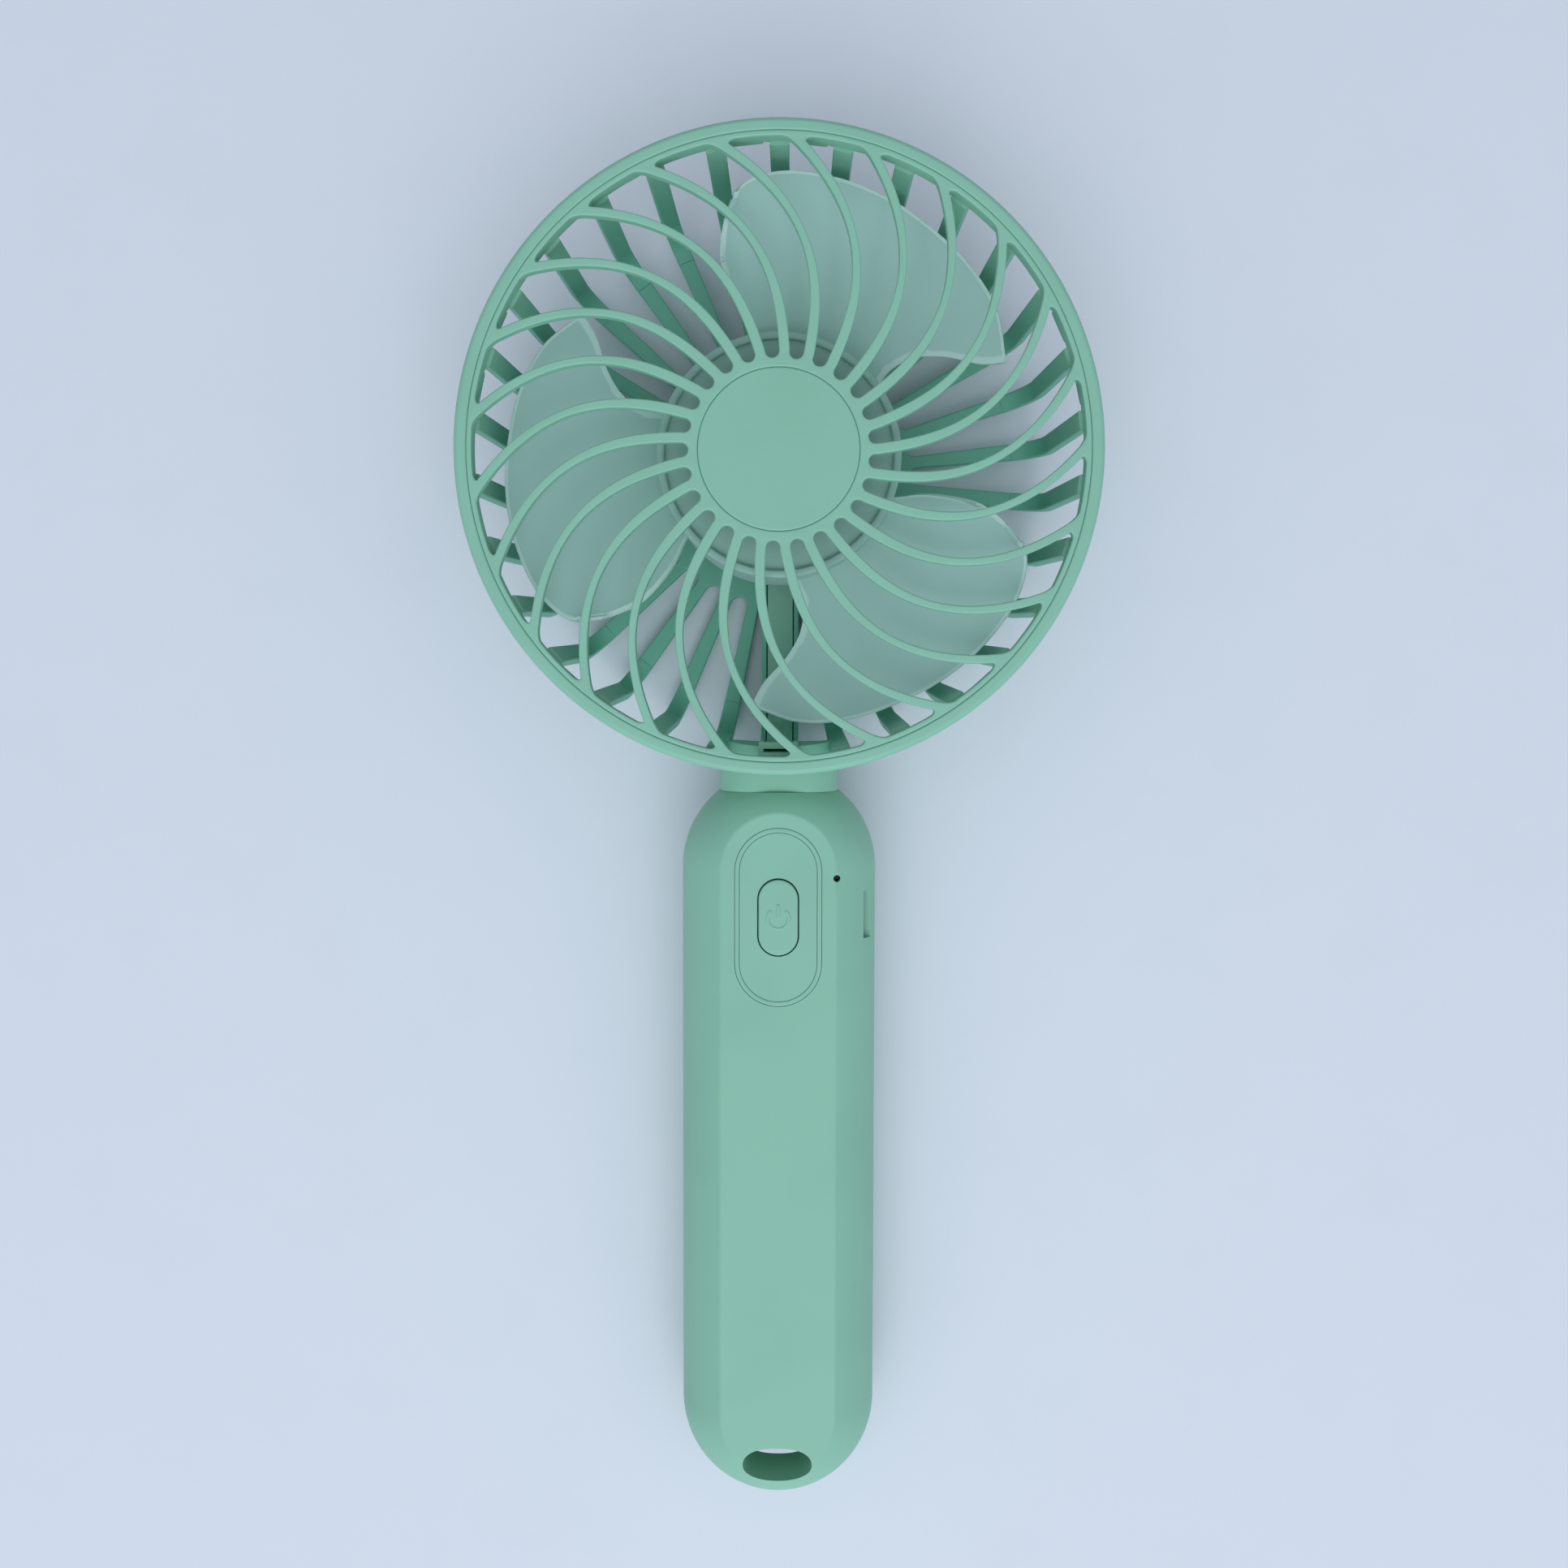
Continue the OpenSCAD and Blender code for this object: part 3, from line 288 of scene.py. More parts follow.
class Shape:
    """Points and faces of one piece, in millimetres."""

    def __init__(self):
        self.points = []
        self.faces = []
        self.lit = set()

    def add(self, points, faces, place=None, lit=()):
        """Adds points and faces. The points numbered in lit lie on a thin edge, which gets a painted glow as
        if light shone through it.
        """
        base = len(self.points)
        self.lit |= {base + i for i in lit}
        self.points += [tuple(place @ Vector(p)) if place else tuple(p) for p in points]
        self.faces += [tuple(base + i for i in f) for f in faces]

    def revolve(self, profile, steps=128, place=None):
        """Closed (r, z) profile turned about the Z axis."""
        points = []
        for k in range(steps):
            c, s = polar(1, 360 * k / steps)
            points += [(r * c, r * s, z) for r, z in profile]
        self.add(points, skin(steps, len(profile), wrap_rows=True), place)

    def plate(self, outlines, low, high, low_round=0.0, high_round=0.0, place=None, steps=3):
        """Flat plate with rounded edges. The first outline runs counter-clockwise, its holes clockwise."""
        levels = edge_levels(low, high, low_round, high_round, steps)
        points, faces, bottom, top = [], [], [], []
        for outline in outlines:
            base = len(points)
            for z, inset in levels:
                points += [(x, y, z) for x, y in offset(outline, inset)]
            faces += [tuple(base + i for i in f) for f in skin(len(levels), len(outline))]
            bottom.append(range(base, base + len(outline)))
            top.append(range(len(points) - len(outline), len(points)))
        for loops in (bottom, top):
            order = [i for loop in loops for i in loop]
            flat = [[Vector(points[i]) for i in loop] for loop in loops]
            faces += [tuple(order[i] for i in f) for f in tessellate_polygon(flat)]
        self.add(points, faces, place)

    def loft(self, rings, place=None):
        """Closed rings of equal length, joined, with a flat cap on each end."""
        n = len(rings[0])
        points = [p for ring in rings for p in ring]
        caps = [tuple(range(n)), tuple(range(len(points) - n, len(points)))]
        self.add(points, skin(len(rings), n) + caps, place)

    def mesh(self, name):
        mesh = bpy.data.meshes.new(name)
        mesh.from_pydata([Vector(p) * MM for p in self.points], [], self.faces)
        bm = bmesh.new()
        bm.from_mesh(mesh)
        # The edge attribute is the mask of painted light: one where a thin blade edge is lightened as if lit
        # through.
        edge = bm.verts.layers.float.new("edge")
        bm.verts.ensure_lookup_table()
        for i in self.lit:
            bm.verts[i][edge] = 1
        bmesh.ops.remove_doubles(bm, verts=bm.verts, dist=0.0005 * MM)
        bmesh.ops.dissolve_degenerate(bm, edges=bm.edges, dist=0.0005 * MM)
        bmesh.ops.recalc_face_normals(bm, faces=bm.faces)
        bm.to_mesh(mesh)
        bm.free()
        return mesh

    def piece(self, name, body, node, slot, material):
        """Makes the finished piece, which rides on a body and stands for a CAD node."""
        finished(self.mesh(name), name, body, node, material)


def finished(mesh, name, body, node, material):
    """Turns a mesh into a piece of the fan."""
    piece = bpy.data.objects.new(name, mesh)
    bpy.context.scene.collection.objects.link(piece)
    piece.data.materials.append(material)
    smooth(piece)
    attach(piece, body)
    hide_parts(node)


def smooth(piece, sharp=38):
    """Smooth shading that keeps flat faces flat and sharp edges sharp."""
    piece.data.shade_smooth()
    piece.data.set_sharp_from_angle(angle=math.radians(sharp))
    weighted = piece.modifiers.new("flat_faces", "WEIGHTED_NORMAL")
    weighted.keep_sharp = True


# ---------- materials ----------

def node_at(tree, kind, **values):
    node = tree.nodes.new(kind)
    for name, value in values.items():
        node.inputs[name.replace("_", " ")].default_value = value
    return node


def plastic(name, colour, rough, grain, depth, drift=0.04, metal=0.0):
    """Moulded or metal surface: slow drift of tone, and a fine grain that also breaks up the gloss."""
    material = bpy.data.materials.new(name)
    material.use_nodes = True
    tree = material.node_tree
    surface = tree.nodes["Principled BSDF"]
    surface.inputs["Metallic"].default_value = metal
    place = tree.nodes.new("ShaderNodeTexCoord")
    slow = node_at(tree, "ShaderNodeTexNoise", Scale=60.0, Detail=3.0)
    fine = node_at(tree, "ShaderNodeTexNoise", Scale=grain, Detail=2.0, Roughness=0.6)
    tone = tree.nodes.new("ShaderNodeValToRGB")
    for stop, factor in zip(tone.color_ramp.elements, (1 - drift, 1 + drift)):
        stop.color = (*(min(1.0, c * factor) for c in colour), 1)
    tone.color_ramp.elements[0].position = 0.3
    tone.color_ramp.elements[1].position = 0.7
    mixed = node_at(tree, "ShaderNodeMath")
    mixed.operation = "MULTIPLY_ADD"
    mixed.inputs[1].default_value = 0.35
    gloss = node_at(tree, "ShaderNodeMapRange", To_Min=rough - 0.06, To_Max=rough + 0.06)
    bump = node_at(tree, "ShaderNodeBump", Strength=0.35, Distance=depth * MM)
    link = tree.links.new
    link(place.outputs["Object"], slow.inputs["Vector"])
    link(place.outputs["Object"], fine.inputs["Vector"])
    link(fine.outputs["Fac"], mixed.inputs[0])
    link(slow.outputs["Fac"], mixed.inputs[2])
    link(mixed.outputs["Value"], tone.inputs["Fac"])
    link(tone.outputs["Color"], surface.inputs["Base Color"])
    link(fine.outputs["Fac"], gloss.inputs["Value"])
    link(gloss.outputs["Result"], surface.inputs["Roughness"])
    link(fine.outputs["Fac"], bump.inputs["Height"])
    link(bump.outputs["Normal"], surface.inputs["Normal"])
    return material


def blend(material, colour, factor):
    """Blends another colour into a material, by a number that factor(tree) gives at each point."""
    tree = material.node_tree
    base = tree.nodes["Principled BSDF"].inputs["Base Color"]
    mix = tree.nodes.new("ShaderNodeMix")
    mix.data_type = "RGBA"
    first, second = [socket for socket in mix.inputs if socket.type == "RGBA"]
    blended = [socket for socket in mix.outputs if socket.type == "RGBA"][0]
    second.default_value = (*colour, 1)
    tree.links.new(base.links[0].from_socket, first)
    tree.links.new(factor(tree), mix.inputs[0])
    tree.links.new(blended, base)


def painted_glow_factor(tree):
    """Mask of painted light: one on the thin edges, whose colour is lightened as if light shone through them.
    """
    attribute = tree.nodes.new("ShaderNodeAttribute")
    attribute.attribute_name = "edge"
    return attribute.outputs["Fac"]


def painted_shade_factor(tree):
    """Mask of painted shade: one at the head's back, zero at its rim and on the neck."""
    place = tree.nodes.new("ShaderNodeTexCoord")
    split = tree.nodes.new("ShaderNodeSeparateXYZ")
    fall = node_at(tree, "ShaderNodeMapRange", From_Min=RIM_LOW * MM, From_Max=0.6 * RIM_LOW * MM)
    tree.links.new(place.outputs["Object"], split.inputs["Vector"])
    tree.links.new(split.outputs["Z"], fall.inputs["Value"])
    head = node_at(tree, "ShaderNodeMapRange", From_Min=-BASKET_TOP_R * MM, From_Max=-BASKET_LOW_R * MM)
    tree.links.new(split.outputs["Y"], head.inputs["Value"])
    both = tree.nodes.new("ShaderNodeMath")
    both.operation = "MULTIPLY"
    tree.links.new(fall.outputs["Result"], both.inputs[0])
    tree.links.new(head.outputs["Result"], both.inputs[1])
    return both.outputs["Value"]


MINT_COLOUR = (0.255, 0.525, 0.375)
MINT = plastic("mint_plastic", MINT_COLOUR, 0.5, 5200, 0.03)
GUARD = plastic("guard_plastic_painted_shade", MINT_COLOUR, 0.5, 5200, 0.03)
# Painted shade: the guard's green turns darker and deeper toward the back of the basket, where shade gathers
# among the bars.
blend(GUARD, (0.17, 0.49, 0.34), painted_shade_factor)
FROSTED = plastic("frosted_plastic", (0.38, 0.58, 0.51), 0.5, 4200, 0.02)
# Painted light: the frosted blades are lightened along their thin edges, as if light shone through them.
blend(FROSTED, (0.54, 0.74, 0.66), painted_glow_factor)

# Finishes of the parts inside: colour, roughness, grain, bump depth, metallic
FINISHES = {
    "steel": ((0.62, 0.62, 0.64), 0.32, 2500, 0.004, 1.0),
    "magnet": ((0.05, 0.05, 0.055), 0.6, 2500, 0.03, 0.0),
    "bronze": ((0.5, 0.3, 0.12), 0.45, 3000, 0.01, 1.0),
    "copper": ((0.62, 0.25, 0.1), 0.3, 1500, 0.02, 1.0),
    "black_plastic": ((0.012, 0.012, 0.014), 0.42, 3000, 0.01, 0.0),
    "component": ((0.12, 0.09, 0.07), 0.5, 2500, 0.01, 0.0),
    "led": ((0.85, 0.8, 0.6), 0.2, 1500, 0.005, 0.0),
    "board": ((0.01, 0.09, 0.04), 0.28, 1800, 0.01, 0.0),
    "cell_wrap": ((0.02, 0.08, 0.32), 0.25, 900, 0.02, 0.0),
    "foam": ((0.02, 0.02, 0.02), 0.9, 1800, 0.15, 0.0),
    "red_wire": ((0.4, 0.01, 0.01), 0.45, 1500, 0.01, 0.0),
    "black_wire": ((0.012, 0.012, 0.012), 0.45, 1500, 0.01, 0.0),
}


def dress_cad_nodes():
    """Finishes for the CAD parts that keep their own mesh, their sharp edges lightly rounded."""
    made = {"shell": MINT, "frosted_rotor": FROSTED}
    for slot, (colour, rough, grain, depth, metal) in FINISHES.items():
        made[slot] = plastic(slot, colour, rough, grain, depth, metal=metal)
    for part in frame["record"]["subparts"]:
        node = frame["nodes"][part["node"]]
        node.data.materials.clear()
        node.data.materials.append(made[part["material_slot"]])
        edge = node.modifiers.new("edge", "BEVEL")
        edge.width = 0.06 * MM
        edge.segments = 2
        edge.limit_method = "ANGLE"
        edge.angle_limit = math.radians(50)
        smooth(node)


# ---------- front grille ----------

def rib_turn(r):
    t = (r - SLOT_END_AT) / (GRILLE_OPEN_R - SLOT_END_AT)
    return 0.33 + 13.7 * t + 31.8 * t ** 3 - 16.3 * t ** 4


def rib_slope(r):
    step = 0.05
    return (rib_turn(r + step) - rib_turn(r - step)) / (2 * step) * math.radians(r)


def rib_side(r, start, side):
    """Point on one side of a rib: side is +1 on its counter-clockwise side, -1 on the other."""
    lean = start + rib_turn(r) + math.degrees(math.atan(rib_slope(r)))
    half = RIB_W / 2 * along(RIB_TAPER, (r - SLOT_END_AT) / (GRILLE_OPEN_R - SLOT_END_AT))
    x, y = polar(r, start + rib_turn(r))
    dx, dy = polar(side * half, lean + 90)
    return (x + dx, y + dy)


def ring_angle(start, side):
    """Angle at which a rib's side meets the ring."""
    x, y = rib_side(GRILLE_OPEN_R, start, side)
    miss = math.hypot(x, y) - GRILLE_OPEN_R
    return math.degrees(math.atan2(y, x) - miss * rib_slope(GRILLE_OPEN_R) / GRILLE_OPEN_R)


def bend(p, corner, q, steps=8):
    """Rounded corner from p to q, both left out, the two sides meeting at the corner."""
    pull = math.dist(p, q) / (math.dist(p, corner) + math.dist(corner, q))
    curve = []
    for i in range(1, steps):
        t = i / steps
        weights = ((1 - t) ** 2, 2 * pull * t * (1 - t), t * t)
        curve.append(tuple(sum(w * point[k] for w, point in zip(weights, (p, corner, q))) / sum(weights)
                           for k in (0, 1)))
    return curve


def grille_slot(k, steps=26):
    """Gap between two ribs, clockwise, its corners at the ring rounded."""
    start = k * 360 / RIB_COUNT
    after = start + 360 / RIB_COUNT
    a, b = ring_angle(start, 1), ring_angle(after, -1)
    b += 360 if b < a else 0
    per_mm = math.degrees(1 / GRILLE_OPEN_R)
    low, high = a + BLUNT_CORNER * per_mm, b - SHARP_CORNER * per_mm

    def rib_line(start, side, corner):
        run = GRILLE_OPEN_R - 0.7 * corner - SLOT_END_AT
        return [rib_side(SLOT_END_AT + run * i / steps, start, side) for i in range(steps + 1)]

    first, last = rib_line(start, 1, BLUNT_CORNER), rib_line(after, -1, SHARP_CORNER)
    ring = [polar(GRILLE_OPEN_R, low + (high - low) * i / 10) for i in range(11)]
    middle = ((first[0][0] + last[0][0]) / 2, (first[0][1] + last[0][1]) / 2)
    turn = math.degrees(math.atan2(last[0][1] - middle[1], last[0][0] - middle[0]))
    outline = first + bend(first[-1], polar(GRILLE_OPEN_R, a), ring[0]) + ring
    outline += bend(ring[-1], polar(GRILLE_OPEN_R, b), last[-1]) + last[::-1]
    outline += arc(*middle, math.dist(first[0], last[0]) / 2, turn, turn + 180, 14)[1:-1]
    return outline[::-1]


def catch_turns():
    return [90 + k * 360 / CATCH_PAIRS + side * CATCH_ANGLE for k in range(CATCH_PAIRS) for side in (-1, 1)]


def front_grille():
    shape = Shape()
    slots = [grille_slot(k) for k in range(RIB_COUNT)]
    seat = circle(BADGE_R + BADGE_GAP, 128)[::-1]
    shape.plate([circle(RIM_IN_R - GROOVE, 256)] + slots + [seat], GRILLE_BACK, FRONT_Z, 0.15, 0.25, steps=4)
    shape.plate([circle(BADGE_R + BADGE_GAP + 0.4, 96)], GRILLE_BACK + 0.01, FRONT_Z - BADGE_T)
    ring = rectangle(GRILLE_OPEN_R + 0.03, LEDGE_TOP, GRILLE_R - 0.01, GRILLE_BACK + 0.5, 0.12)
    shape.revolve(ring, 256)
    tab = rectangle(-2.6, RIM_LOW - 0.9, 2.6, GRILLE_BACK + 0.2, 0.6)
    hook = rectangle(-1.1, RIM_LOW - 0.75, 1.1, RIM_LOW - 0.15, 0.2)
    for turn in catch_turns():
        shape.plate([tab], 0, 0.5, 0.12, 0.12, turned(turn, across_x(GRILLE_OPEN_R + 0.1)))
        shape.plate([hook], 0, 0.7, 0.12, 0.12, turned(turn, across_x(GRILLE_OPEN_R + 0.5)))
    shape.piece("front_grille_piece", "housing", "front_grille", "shell", MINT)


def front_badge():
    shape = Shape()
    shape.plate([circle(BADGE_R + BADGE_GAP - GROOVE, 128)], FRONT_Z - BADGE_T, FRONT_Z, 0, 0.28, steps=5)
    shape.piece("front_badge_piece", "housing", "front_badge", "shell", MINT)


# ---------- rear guard ----------

def bar_half_width(x):
    return BAR_CORE / 2 + x * math.tan(math.radians(BAR_TAPER))


def back_comb():
    """Outline of the flat back: the middle plate with the inner, flat run of every bar."""
    slot_at = (BACK_PLATE_R + 0.1 - BAR_CORE / 2) / (1 - math.sin(math.radians(GAP_ANGLE)))
    slot_r = slot_at * math.sin(math.radians(GAP_ANGLE)) - BAR_CORE / 2
    outline = []
    for k in range(BAR_COUNT):
        at = 90 + k * 360 / BAR_COUNT
        ex, ey = polar(1, at)
        half = bar_half_width(CORNER_X)
        for side in (-1, 1):
            outline.append((CORNER_X * ex - side * half * ey, CORNER_X * ey + side * half * ex))
        gap = at + 180 / BAR_COUNT
        cx, cy = polar(slot_at, gap)
        outline += arc(cx, cy, slot_r, gap - 90 - GAP_ANGLE, gap - 270 + GAP_ANGLE, 10)
    return outline


def basket_stations():
    """(inner, outer) points of the basket's wall, from its flat back round the corner to the rim."""
    pairs = [((CORNER_X - 0.05, BASKET_FLOOR), (CORNER_X - 0.05, 0))]
    for a in range(0, 91, 9):
        c, s = polar(1, a - 90)
        inner_r = CORNER_R - BASKET_WALL
        pairs.append(((CORNER_X + inner_r * c, CORNER_R + 0.2 + inner_r * s),
                      (CORNER_X + CORNER_R * c, CORNER_R + CORNER_R * s)))
    inner, outer = (Vector(p) for p in pairs[-1])
    top_z = RIM_LOW + 0.4
    for t in (0.5, 1):
        pairs.append((inner.lerp(Vector((BASKET_TOP_R - BASKET_WALL, top_z)), t),
                      outer.lerp(Vector((BASKET_TOP_R, top_z)), t)))
    return pairs


def bar(shape, turn, half_width=None, round_r=0.3):
    """One bar of the basket, round its corner and up its side, wider with its distance from the axis."""
    rings = []
    wide = 1.5
    for (xi, zi), (xo, zo) in basket_stations():
        depth = math.dist((xi, zi), (xo, zo))
        ring = []
        for u, v in rectangle(-wide, 0, wide, depth, round_r, 3):
            x = xi + (xo - xi) * v / depth
            z = zi + (zo - zi) * v / depth
            half = half_width or bar_half_width(x)
            ring.append((x, math.copysign(half - wide + abs(u), u), z))
        rings.append(ring)
    shape.loft(rings, turned(turn))


def spine_wall_outline():
    """Side wall of the wire trough, in (y, z)."""
    corner_y = -CORNER_X
    face = [(5.8, 5), (4.5, 6), (3.6, 7.8), (3.1, 9.8), (1.7, 12.6), (1.5, 13.4)]
    inner = [(0.2 - BASKET_LOW_R + y, z + 0.2) for y, z in face]
    top = RIM_LOW - 1
    outline = [(-CUP_R + 0.6, 1)] + arc(corner_y, CORNER_R, CORNER_R - 0.9, 270, 180, 8)
    outline += [(0.9 - BASKET_TOP_R, top), (1.7 - BASKET_LOW_R, top)] + inner[::-1]
    return (outline + [(-CUP_R + 0.6, 5.2)])[::-1]


def rear_guard():
    shape = Shape()
    shape.plate([back_comb()], 0, BASKET_FLOOR, 0.3, 0.3)
    for k in range(BAR_COUNT):
        turn = 90 + k * 360 / BAR_COUNT
        bar(shape, turn, SPINE_W / 2 if k == BAR_COUNT // 2 else None)
    floor = rectangle(-SPINE_W / 2, -CORNER_X - 0.1, SPINE_W / 2, -CUP_R, 0)
    shape.plate([floor], 0.01, BASKET_FLOOR + 0.01, 0.3, 0)
    rim(shape)
    motor_cup(shape)
    neck(shape)
    for x in (-SPINE_W / 2, SPINE_W / 2 - SPINE_WALL):
        shape.plate([spine_wall_outline()], 0, SPINE_WALL, 0.15, 0.15, across_x(x))
    crossbar = rectangle(1 - BASKET_LOW_R - 0.4, RIM_LOW - 1.8, 2 - BASKET_LOW_R - 0.4, RIM_LOW - 1.02)
    shape.plate([crossbar], 0, SPINE_W - 1, place=across_x(0.5 - SPINE_W / 2))
    shape.piece("rear_guard_piece", "housing", "rear_guard", "shell", GUARD)


def rim(shape):
    section = rounded([(RIM_IN_R, RIM_LOW, 0.15), (RIM_R, RIM_LOW, RIM_ROUND),
                       (RIM_R, FRONT_Z, RIM_ROUND), (RIM_IN_R, FRONT_Z, 0.3)], 6)
    shape.revolve(section, 256)
    half_notch = math.degrees(2.8 / RIM_IN_R)
    turns = sorted(catch_turns())
    for a, b in zip(turns, turns[1:] + [turns[0] + 360]):
        low, high = a + half_notch, b - half_notch
        steps = max(3, round((high - low) / 1.5))
        ledge = arc(0, 0, RIM_IN_R + 0.1, low, high, steps) + arc(0, 0, LEDGE_R, high, low, steps)
        shape.plate([ledge], RIM_LOW + 0.01, LEDGE_TOP, 0.1, 0.1)


def motor_cup(shape):
    """The cup that holds the motor: its foot is open below, where the wires leave."""
    shape.revolve(rectangle(CUP_IN_R, CUP_FLOOR, CUP_R, CUP_TOP, 0.2), 96)
    low, high = CUP_FOOT_GAP - 90, 270 - CUP_FOOT_GAP
    foot = arc(0, 0, CUP_R, low, high, 60) + arc(0, 0, CUP_IN_R, high, low, 60)
    shape.plate([foot], 1, CUP_FLOOR + 0.3)
    for k in range(BOSS_COUNT):
        x, y = polar(BOSS_AT, 90 + k * 360 / BOSS_COUNT)
        shape.plate([circle(BOSS_R, 40, x, y)], 1, CUP_TOP, 0, 0.2)


def neck(shape):
    """Neck from the head to the handle, and the spigot that goes into the handle."""
    section = rectangle(-NECK_W / 2, MID_Z - NECK_T / 2, NECK_W / 2, MID_Z + NECK_T / 2, NECK_ROUND, 12)
    inner_r = BASKET_LOW_R - 0.8
    rings = [[(x, -math.sqrt(inner_r ** 2 - x * x), z) for x, z in section]]
    for up, inset in ((4, 0), (0.25, 0), (0.12, 0.03), (0.03, 0.12), (0, 0.25)):
        rings.append([(x, TOP_Y + up, z) for x, z in offset(section, inset)])
    shape.loft(rings)
    spigot = rectangle(-SPIGOT_W / 2, TOP_Y - SPIGOT_L, SPIGOT_W / 2, TOP_Y + 1, 0.5)
    shape.plate([spigot], MID_Z - SPIGOT_T / 2, MID_Z + SPIGOT_T / 2, 0.3, 0.3)


# ---------- impeller ----------

TRAIL_EDGE = [10.5, 15.1, 16.6, 16, 13.4, 9.5]
LEAD_EDGE = [53, 50.4, 52.2, 57.4, 63.8, 66.5]
TIP_DROP = [0.3, 0.1, 0, 0.2, 0.7, 1, 1.9, 4.3]
TIP_CORNER = 3.5
TIP_CORNER_RUN = 0.2
BLADE_COUNT = 3
BLADE_TIP_R = 44.5
HUB_R = 19.4
HUB_WALL = 1.3
HUB_FRONT = FRONT_Z - 6
BLADE_LOW = 19.2
BLADE_RISE = 9.6
BLADE_ROOT_RISE = 6.2
BLADE_T = 1.1
# Widths of the strips of painted light along the leading edge, the trailing edge and the tip.
LEAD_STRIP = 1
TRAIL_STRIP = 0.25
TIP_STRIP = 0.35


def blade_point(u, v):
    """Middle of the blade: u runs from the trailing to the leading edge, v from root to tip."""
    turn = (1 - u) * along(TRAIL_EDGE, v) - u * along(LEAD_EDGE, v)
    root = HUB_R - HUB_WALL / 2
    k = min(1, max(0, 1 - u / TIP_CORNER_RUN))
    tip = BLADE_TIP_R - along(TIP_DROP, u) - TIP_CORNER * (1 - math.sqrt(1 - k * k))
    r = root + (tip - root) * v
    z = BLADE_LOW + (1 - u) * (BLADE_ROOT_RISE + (BLADE_RISE - BLADE_ROOT_RISE) * v)
    return Vector((*polar(r, turn), z))


def in_painted_glow(u, v):
    """Whether a point lies in the strip of painted light along the blade's outline."""
    chord = math.dist(blade_point(0, v), blade_point(1, v))
    reach = math.dist(blade_point(u, 0), blade_point(u, 1))
    return (1 - u) * chord < LEAD_STRIP or u * chord < TRAIL_STRIP or (1 - v) * reach < TIP_STRIP


def blade(shape, turn, cols=56, rows=44):
    """Thin curved sheet with a round edge, closed all round."""
    def spread(t):
        return (1 - math.cos(math.pi * t)) / 2

    us = [spread(i / cols) for i in range(cols + 1)]
    vs = [spread(j / rows) for j in range(rows + 1)]
    h = BLADE_T / 2
    step = 1e-3
    upper, lower, rim_points = {}, {}, {}
    for j, v in enumerate(vs):
        for i, u in enumerate(us):
            p = blade_point(u, v)
            du = blade_point(min(u + step, 1), v) - blade_point(max(u - step, 0), v)
            dv = blade_point(u, min(v + step, 1)) - blade_point(u, max(v - step, 0))
            up = du.cross(dv).normalized()
            up = up if up.z > 0 else -up
            out = Vector()
            if i in (0, cols):
                out += (du if i else -du).normalized()
            if j in (0, rows):
                out += (dv if j else -dv).normalized()
            if out.length:
                out.normalize()
                p = p - out * h
                rim_points[i, j] = [p + h * (math.cos(a) * out + math.sin(a) * up)
                                    for a in (math.radians(d) for d in (60, 30, 0, -30, -60))]
            upper[i, j], lower[i, j] = p + up * h, p - up * h
    order = [(i, j) for j in range(rows + 1) for i in range(cols + 1)]
    grid = skin(rows + 1, cols + 1, wrap_cols=False)
    place = turned(turn)
    # Points in the strips of painted light get the lighter frosted colour, and so does the whole rim below.
    lit = [n for n, (i, j) in enumerate(order) if in_painted_glow(us[i], vs[j])]
    shape.add([upper[k] for k in order], grid, place, lit)
    shape.add([lower[k] for k in order], [f[::-1] for f in grid], place, lit)
    loop = [(i, 0) for i in range(cols)] + [(cols, j) for j in range(rows)]
    loop += [(i, rows) for i in range(cols, 0, -1)] + [(0, j) for j in range(rows, 0, -1)]
    stack = [[upper[k] for k in loop]]
    stack += [[rim_points[k][n] for k in loop] for n in range(5)]
    stack += [[lower[k] for k in loop]]
    shape.add([p for ring in stack for p in ring], skin(len(stack), len(loop)), place,
              range(len(stack) * len(loop)))


def impeller():
    shape = Shape()
    hub = rounded([(HUB_R - HUB_WALL, HUB_LOW.z, 0.3), (HUB_R, HUB_LOW.z, 0.3),
                   (HUB_R, HUB_FRONT, 0.45), (HUB_R - HUB_WALL, HUB_FRONT, 0.45)], 4)
    shape.revolve(hub, 160)
    face_top = HUB_FRONT - 1
    shape.plate([circle(HUB_R - HUB_WALL / 2, 128)], face_top - 1.5, face_top)
    boss = rectangle(1.02, CUP_TOP + 2.7, 3, face_top - 0.4, 0.15)
    shape.revolve(boss, 64)
    for k in range(BLADE_COUNT):
        blade(shape, 90 - k * 360 / BLADE_COUNT)
    shape.piece("impeller_piece", "rotor", "impeller", "frosted_rotor", FROSTED)


# ---------- handle ----------

def side_profile(inset):
    """(half width, height above the middle) up the side of the handle, to the edge of its facet."""
    side_x = HALF_W - SIDE_R
    r = SIDE_R - inset
    top = HALF_T - inset
    bend_r = FACET_ROUND - inset / 2
    bend_x = side_x + math.sqrt((r - bend_r) ** 2 - (top - bend_r) ** 2)
    tangent = math.degrees(math.atan2(top - bend_r, bend_x - side_x))
    return arc(side_x, 0, r, 0, tangent, 14) + arc(bend_x, top - bend_r, bend_r, tangent, 90, 7)[1:]


def handle_ring(w, z, top_y, low_y):
    """The handle's outline at one height: round ends of radius w, the upper one cut off at top_y."""
    cut = math.degrees(math.asin(min(1, (top_y - HIGH_Y) / w)))
    ring = arc(0, low_y, w, 180, 360, 56)
    ring += [(w, low_y + (HIGH_Y - low_y) * k / 16) for k in range(1, 16)]
    ring += arc(0, HIGH_Y, w, 0, cut, 20)
    edge = ring[-1]
    ring += [(edge[0] * (1 - k / 5), edge[1]) for k in range(1, 10)]
    ring += arc(0, HIGH_Y, w, 180 - cut, 180, 20)
    ring += [(-w, HIGH_Y + (low_y - HIGH_Y) * k / 16) for k in range(1, 16)]
    return [(x, y, z) for x, y in ring]


